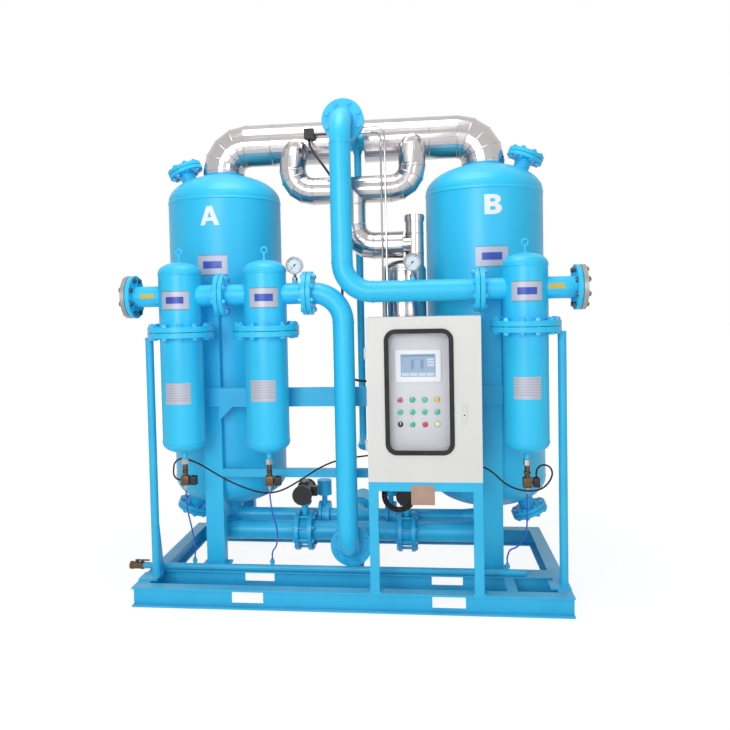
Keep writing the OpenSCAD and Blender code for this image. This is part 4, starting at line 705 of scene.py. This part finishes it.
# %% [markdown]
# Pilot lamps: a chromed ring and a tinted dome each. They stand for the plain CAD lamps. All rings are
# one piece, and the domes are one piece for each colour.

# %% Pilot lamps
def lens(name, bright, deep):
    return finish(name, bright, deep, 80, (0.12, 0.22), 0.7, relief=(500, 0.05, 0.001), coat=0.5)


lens_red = lens("lens_red", tone(196, 78, 84), tone(152, 46, 54))
lens_green = lens("lens_green", tone(64, 186, 156), tone(34, 148, 120))
lens_yellow = lens("lens_yellow", tone(236, 190, 52), tone(196, 140, 20))
lens_pale = lens("lens_pale", tone(222, 214, 170), tone(188, 178, 130))
panel_y, lamp_x, lamp_z, pitch_x = -0.4997, 0.282, 1.045, 0.060
ring_outline = [(0.0158, 0.0), (0.0158, 0.0042), (0.0150, 0.0052), (0.0135, 0.0052), (0.0131, 0.0030)]
dome_outline = [(0.0130, 0.0), (0.0130, 0.0085), (0.0124, 0.0112), (0.0104, 0.0130), (0.0065, 0.0138),
                (0.0015, 0.0140)]
lamp_plan = [[lens_red, lens_green, lens_green, lens_yellow], [lens_green] * 4, [None, None, None, lens_pale]]
rings, by_lens = [], {}
for row, plan in enumerate(lamp_plan):
    for k, tint in enumerate(plan):
        if tint:
            at = (lamp_x + k * pitch_x, panel_y, lamp_z - row * pitch_x)
            rings.append(turned(ring_outline, at, -Y))
            by_lens.setdefault(tint, []).append(turned(dome_outline, at, -Y))
lamp_rings = creased(add_piece("lamp_rings", *gather(rings), [satin_chrome], "latch_chrome"))
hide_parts("pilot_lamps")
for tint, domes in by_lens.items():
    creased(add_piece("lamp_" + tint.name, *gather(domes), [tint], "lamp_lens"))
print("lamps:", len(rings))

# %% [markdown]
# The touch screen shows a plain grey-blue page: a title bar, two tower shapes, pipes and a row of
# soft keys, all without words. An image would need a file, so the page is thin tiles, each a little in
# front of the glass.

# %% Touch screen page
def screen_tint(name, main, second, scale=10, amount=0.6):
    return finish(name, main, second, scale, (0.12, 0.2), amount, relief=(40, 0.01, 0.001), coat=0.4)


screen_glass = screen_tint("screen_page", tone(150, 168, 190), tone(140, 156, 184), 6, 0.5)
screen_dark = screen_tint("screen_ink", tone(124, 140, 178), tone(112, 126, 166))
screen_pale = screen_tint("screen_keys", tone(202, 206, 214), tone(190, 195, 206))
screen_x, screen_z, screen_y = 0.372, 1.214, panel_y - 0.007
page_lift, ink_lift = 0.0001, 0.0003


def tile(x, z, width, height, lift=ink_lift):
    """A tile from its lower left corner, measured from the middle of the screen."""
    corner = Vector((screen_x + x, screen_y - lift, screen_z + z))
    return [corner, corner + X * width, corner + X * width + Z * height, corner + Z * height], [(0, 1, 2, 3)]


add_piece("screen_page", *tile(-0.0848, -0.0558, 0.1696, 0.1116, page_lift), [screen_glass], "screen_bezel",
          smooth=False)
ink = [tile(-0.080, 0.043, 0.160, 0.008)]
ink += [tile(x, -0.016, 0.016, 0.042) for x in (-0.035, 0.012)]
ink += [tile(-0.036, z, 0.066, 0.002) for z in (0.0295, -0.0235)]
add_piece("screen_ink", *gather(ink), [screen_dark], "screen_bezel", smooth=False)
keys = [tile(-0.079 + 0.0405 * k, -0.051, 0.036, 0.015) for k in range(4)]
keys += [tile(0.045, 0.024 - 0.014 * k, 0.033, 0.010) for k in range(3)]
add_piece("screen_keys", *gather(keys), [screen_pale], "screen_bezel", smooth=False)
print("screen page:", 1 + len(ink) + len(keys), "tiles")

# %% [markdown]
# Gauge dials: a white card with a ring of ticks behind a clear lens. The needle is a CAD piece that
# turns, so the card only has to leave its spindle free. Painted ticks would blur from close by, so
# each tick is a small face of its own.

# %% Gauge dials
dial_card = finish("dial_card", tone(206, 213, 222), tone(194, 202, 212), scale=30, rough=(0.45, 0.6))
gauge_y, gauge_z, gauge_places = -0.422, 1.721, (-0.242, 0.352)
tick_count, tick_lift, tick_end, first_tick, sweep = 50, 0.0009, 0.035, 225, 270
card_outline = [(0.0022, 0.0003), (0.0022, 0.0007), (0.0385, 0.0007), (0.0385, 0.0003)]
lens_outline = [(0.0388, 0.0098), (0.0388, 0.0106), (0.0300, 0.0112), (0.0150, 0.0115), (0.0020, 0.0116)]
cards, ticks, lenses = [], [], []
for x in gauge_places:
    middle = Vector((x, gauge_y, gauge_z))
    cards.append(turned(card_outline, middle, -Y))
    for k in range(tick_count + 1):
        angle = math.radians(first_tick - sweep * k / tick_count)
        out = Vector((math.cos(angle), 0, math.sin(angle)))
        side = Vector((-math.sin(angle), 0, math.cos(angle)))
        inner, wide = (0.0275, 0.0007) if k % 5 == 0 else (0.0315, 0.00035)
        near, far = middle - Y * tick_lift + out * inner, middle - Y * tick_lift + out * tick_end
        ticks.append(([near - side * wide, far - side * wide, far + side * wide, near + side * wide],
                      [(0, 1, 2, 3)]))
    lenses.append(turned(lens_outline, middle, -Y))
creased(add_piece("dial_cards", *gather(cards), [dial_card], "gauge_steel"))
add_piece("dial_ticks", *gather(ticks), [needle_black], "needle_black", smooth=False)
creased(add_piece("dial_lenses", *gather(lenses), [window_acrylic], "window_acrylic"))
print("dials:", len(cards))

# %% [markdown]
# The drains under the filters mix brass, steel and black plastic. One CAD solid can't wear three
# finishes neatly, so separate pieces stand for it: turned brass fittings, steel unions, and a boxy
# solenoid with rounded edges.

# %% Drains
def hexagon(at, direction, radius, height, chamfer=0.0012):
    return turned([(radius - chamfer, 0), (radius, chamfer), (radius, height - chamfer),
                   (radius - chamfer, height)], at, direction, sides=6)


def soft_box(low, high, edge):
    """A box with rounded edges between two corners."""
    form = bmesh.new()
    bmesh.ops.create_cube(form, size=1)
    low, high = Vector(low), Vector(high)
    for vertex in form.verts:
        vertex.co = Vector(((vertex.co[i] + 0.5) * (high[i] - low[i]) + low[i]) for i in range(3))
    bmesh.ops.bevel(form, geom=form.edges[:], offset=edge, segments=2, affect="EDGES", profile=0.6)
    points = [v.co.copy() for v in form.verts]
    faces = [tuple(v.index for v in f.verts) for f in form.faces]
    form.free()
    return points, faces


stub_z = 0.73525
fitting = [(0.0115, 0.0298), (0.013, 0.031), (0.013, 0.058), (0.0115, 0.060), (0.0115, 0.072), (0.013, 0.074),
           (0.013, 0.090), (0.011, 0.0915)]
barb = [(0.004, 0.157), (0.0045, 0.160), (0.004, 0.163), (0.0045, 0.166), (0.0038, 0.1698)]
brass_parts, black_parts, steel_parts = [], [], []
for axis in filter_axes:
    at = Vector((*axis, stub_z))

    def block(low, high, edge, at=at):
        return soft_box(at + Vector(low), at + Vector(high), edge)

    steel_parts.append(hexagon(at - Z * 0.0002, -Z, 0.019, 0.0298))
    brass_parts.append(turned(fitting, at, -Z))
    brass_parts.append(hexagon(at - Z * 0.060, -Z, 0.017, 0.012))
    brass_parts.append(block((-0.022, -0.020, -0.140), (0.022, 0.020, -0.090), 0.004))
    black_parts.append(block((0.028, -0.019, -0.138), (0.060, 0.019, -0.092), 0.003))
    black_parts.append(turned([(0.008, 0), (0.008, 0.011)], at + Vector((0.020, 0, -0.116)), X))
    black_parts.append(block((0.034, -0.014, -0.0925), (0.055, 0.014, -0.0920), 0.0001))
    steel_parts.append(hexagon(at - Z * 0.1395, -Z, 0.009, 0.0185, 0.0008))
    steel_parts.append(turned(barb, at, -Z, 20))
drains = creased(add_piece("drain_brass", *gather(brass_parts), [dull_brass], "brass"))
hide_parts("drain_valves")
creased(add_piece("drain_coils", *gather(black_parts), [black_moulding], "black_plastic"))
creased(add_piece("drain_unions", *gather(steel_parts), [zinc_bolt], "machine_steel"))
print("drains:", len(filter_axes))

# %% [markdown]
# Insulation is wrapped in sheet metal. Its gores and lengths meet in rolled beads, and each length
# is closed by a row of small screws along a lap. A bump would vanish at the outline of a pipe, so
# rings and small domes show them.

# %% Bead helpers
def bead_ring(at, direction, radius, thick=0.0022, length_share=1.6, sides=6, around=48):
    """A ring whose section is longer along the pipe than it is high."""
    axis = Vector(direction).normalized()
    across = axis.orthogonal().normalized()
    beside = axis.cross(across)
    points, faces = [], []
    for k in range(around):
        a = 2 * math.pi * k / around
        out = across * math.cos(a) + beside * math.sin(a)
        for j in range(sides):
            b = 2 * math.pi * j / sides
            along = thick * length_share * math.sin(b)
            points.append(Vector(at) + out * (radius + thick * math.cos(b)) + axis * along)
    for k in range(around):
        after = (k + 1) % around
        for j in range(sides):
            next_j = (j + 1) % sides
            faces.append((k * sides + j, k * sides + next_j, after * sides + next_j, after * sides + j))
    return points, faces


def arc(centre, radius, first, last, u, v, gores=4):
    """The joints of a bend made of gores: where each one is, and which way the pipe runs there."""
    joints = []
    for i in range(gores + 1):
        a = math.radians(first + (last - first) * i / gores)
        joints.append((Vector(centre) + radius * (math.cos(a) * Vector(u) + math.sin(a) * Vector(v)),
                       -math.sin(a) * Vector(u) + math.cos(a) * Vector(v)))
    return joints


print("beads ready")

# %% [markdown]
# The clad header joins both towers. The purge yoke hangs from it in front, and its drop leads to the
# heater. The beads sit at the joints of the bends, which the CAD makes of four gores each.

# %% Cladding beads and screws
beads, screws = [], []
header_z, clad_y, seat_z, clad_radius, wide_radius, collar = 2.455, 0.15, 2.2935, 0.119, 0.120, 0.015
turn, drop_x, drop_z = header_z - seat_z - collar, 0.025, 1.840
screw_head = [(0.0035, 0), (0.0035, 0.0008), (0.0022, 0.0022), (0.0006, 0.0026)]
lap = Vector((0, -0.9239, -0.3827))
for side in (-1, 1):
    joints = arc((side * (tower_b[0] - turn), clad_y, seat_z + collar), turn, 0, 90, X * side, Z)
    for i, (at, run) in enumerate(joints):
        beads.append(bead_ring(at, run, wide_radius + (clad_radius - wide_radius) * i / 4))
    for x in (0.090, 0.45):
        beads.append(bead_ring((side * x, clad_y, header_z), X, clad_radius))
    for k in range(7):
        at = Vector((side * (0.12 + 0.07 * k), clad_y, header_z)) + lap * clad_radius
        screws.append(turned(screw_head, at, lap, 10))

loop_y, loop_z, loop_x, loop_turn, loop_radius = -0.060, 2.146, 0.328, 0.115, 0.073
slope = Vector((0, loop_y - clad_y, loop_z + loop_turn + 0.045 - header_z))
for side in (-1, 1):
    corner = (drop_x + side * (loop_x - loop_turn), loop_y, loop_z + loop_turn)
    for at, run in arc(corner, loop_turn, 0, -90, X * side, Z):
        beads.append(bead_ring(at, run, loop_radius))
    for share, narrow in ((0.505, 1), (0.78, 0.98)):
        at = Vector((drop_x + side * loop_x, clad_y, header_z)) + slope * share
        beads.append(bead_ring(at, slope, loop_radius * narrow))
for at, run in arc((drop_x + loop_turn, loop_y, drop_z + loop_turn), loop_turn, 180, 270, X, Z):
    beads.append(bead_ring(at, run, loop_radius))
beads.append(bead_ring((drop_x, loop_y, 2.064), Z, loop_radius))
beads.append(bead_ring((0.295, loop_y, drop_z), X, loop_radius))
for k in range(5):
    at = (-0.155 + 0.09 * k, loop_y - loop_radius * 0.995, loop_z - 0.006)
    screws.append(turned(screw_head, at, -Y, 10))

heater_x, heater_y, heater_radius, stack_x, stack_radius = 0.300, -0.030, 0.120, 0.360, 0.050
beads += [bead_ring((heater_x, heater_y, z), Z, heater_radius) for z in (0.642, 0.900, 1.180, 1.440, 1.698)]
beads += [bead_ring((stack_x, heater_y, z), Z, stack_radius) for z in (1.790, 1.900, 1.9985)]
creased(add_piece("cladding_beads", *gather(beads), [clad_sheet], "stainless_cladding"), 80)
creased(add_piece("cladding_screws", *gather(screws), [zinc_bolt], "machine_steel"))
print("cladding:", len(beads), "beads,", len(screws), "screws")

# %% [markdown]
# Small parts that the eye looks for. The two push buttons are as wide as the lamps: a coloured cap
# rides on each moving button, and a chromed ring stays on the panel. The selector has a white mark and
# the latch a keyhole, each riding on its own body, so that they turn with it.

# %% Button caps, selector mark and keyhole
row_three = lamp_z - 2 * pitch_x
cap_outline = [(0.0112, 0.0100), (0.0128, 0.0104), (0.0130, 0.0135), (0.0122, 0.0152), (0.0095, 0.0162),
               (0.0015, 0.0166)]
button_rings = []
for k, body, tint, slot in ((1, "start", button_green, "button_green"),
                            (2, "stop", button_red, "button_red")):
    at = Vector((lamp_x + k * pitch_x, panel_y, row_three))
    button_rings.append(bead_ring(at - Y * 0.0026, Y, 0.0142, 0.0016))
    creased(add_piece(body + "_cap", *turned(cap_outline, at, -Y), [tint], slot, body))
creased(add_piece("button_rings", *gather(button_rings), [satin_chrome], "latch_chrome"), 80)

mark_outline = [(-0.0014, 0.001), (0.0014, 0.001), (0.0014, 0.0105), (0, 0.0125), (-0.0014, 0.0105)]
mark_front = [Vector((lamp_x + u, panel_y - 0.0184, row_three + v)) for u, v in mark_outline]
corners = len(mark_front)
mark_faces = [tuple(range(corners)), tuple(reversed(range(corners, 2 * corners)))]
for i in range(corners):
    j = (i + 1) % corners
    mark_faces.append((j, i, corners + i, corners + j))
add_piece("selector_mark", mark_front + [p + Y * 0.0006 for p in mark_front], mark_faces, [letter_white],
          "cabinet_grey", "selector", smooth=False)

keyhole_at = Vector((0.589, -0.5712, 0.977))
rim_outline = [(0.0066, 0), (0.0066, 0.0006), (0.0054, 0.0011), (0.0044, 0.0006)]
hole_outline = [(0.0042, 0.0005), (0.0040, 0.0008), (0.0010, 0.0009)]
creased(add_piece("keyhole_rim", *turned(rim_outline, keyhole_at, -Y), [satin_chrome], "latch_chrome",
                  "latch"))
creased(add_piece("keyhole", *turned(hole_outline, keyhole_at, -Y, 24), [needle_black], "needle_black",
                  "latch"))
print("small parts: 2 caps, 1 mark, 1 keyhole")

# %% [markdown]
# A weld bead runs round both seams of each filter, under the paint. The ring of the cladding serves
# here too, in blue.

# %% Filter seams
seams = [bead_ring((*axis, z), Z, filter_radius) for axis in filter_axes for z in (0.822, 1.700)]
creased(add_piece("filter_seams", *gather(seams), [blue_enamel], "sky_blue_paint"), 80)
print("seams:", len(seams))

# %% [markdown]
# A tan fibre tag hangs on the stand's rail, and a strip of yellow tape sticks on each end nozzle. The
# tape follows the pipe, so it is a strip between two bent lines.

# %% Tag and tape
tag_tan = finish("tag_tan", tone(188, 156, 138), tone(160, 128, 112), scale=24, amount=0.7, rough=(0.55, 0.7),
                 relief=(200, 0.1, 0.001))
tape_yellow = finish("tape_yellow", tone(214, 188, 84), tone(186, 156, 58), scale=20, amount=0.6,
                     rough=(0.35, 0.5), relief=(200, 0.04, 0.001))
tag = soft_box((0.329, -0.5618, 0.541), (0.443, -0.5602, 0.637), 0.0006)
creased(add_piece("rail_tag", *tag, [tag_tan], "brass"))
tape_radius, tape_steps = 0.0545, 8
tapes = []
for left, right_end, low, high in ((-1.041, -0.966, 1.570, 1.595), (1.005, 1.080, 1.573, 1.600)):
    first, last = (math.asin((z - nozzle_z) / tape_radius) for z in (low, high))
    angles = [first + (last - first) * i / tape_steps for i in range(tape_steps + 1)]
    bent = [(filter_y / 1000 - tape_radius * math.cos(a), nozzle_z + tape_radius * math.sin(a))
            for a in angles]
    tapes.append(strip(*([Vector((x, y, z)) for y, z in bent] for x in (right_end, left))))
creased(add_piece("nozzle_tapes", *gather(tapes), [tape_yellow], "brass"))
print("tag and tapes:", 1 + len(tapes))

# %% [markdown]
# The last cell prints the size of the dressed dryer.

# %% Sizes and finish
low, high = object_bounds()
print("visual size", [round(v, 3) for v in high - low])
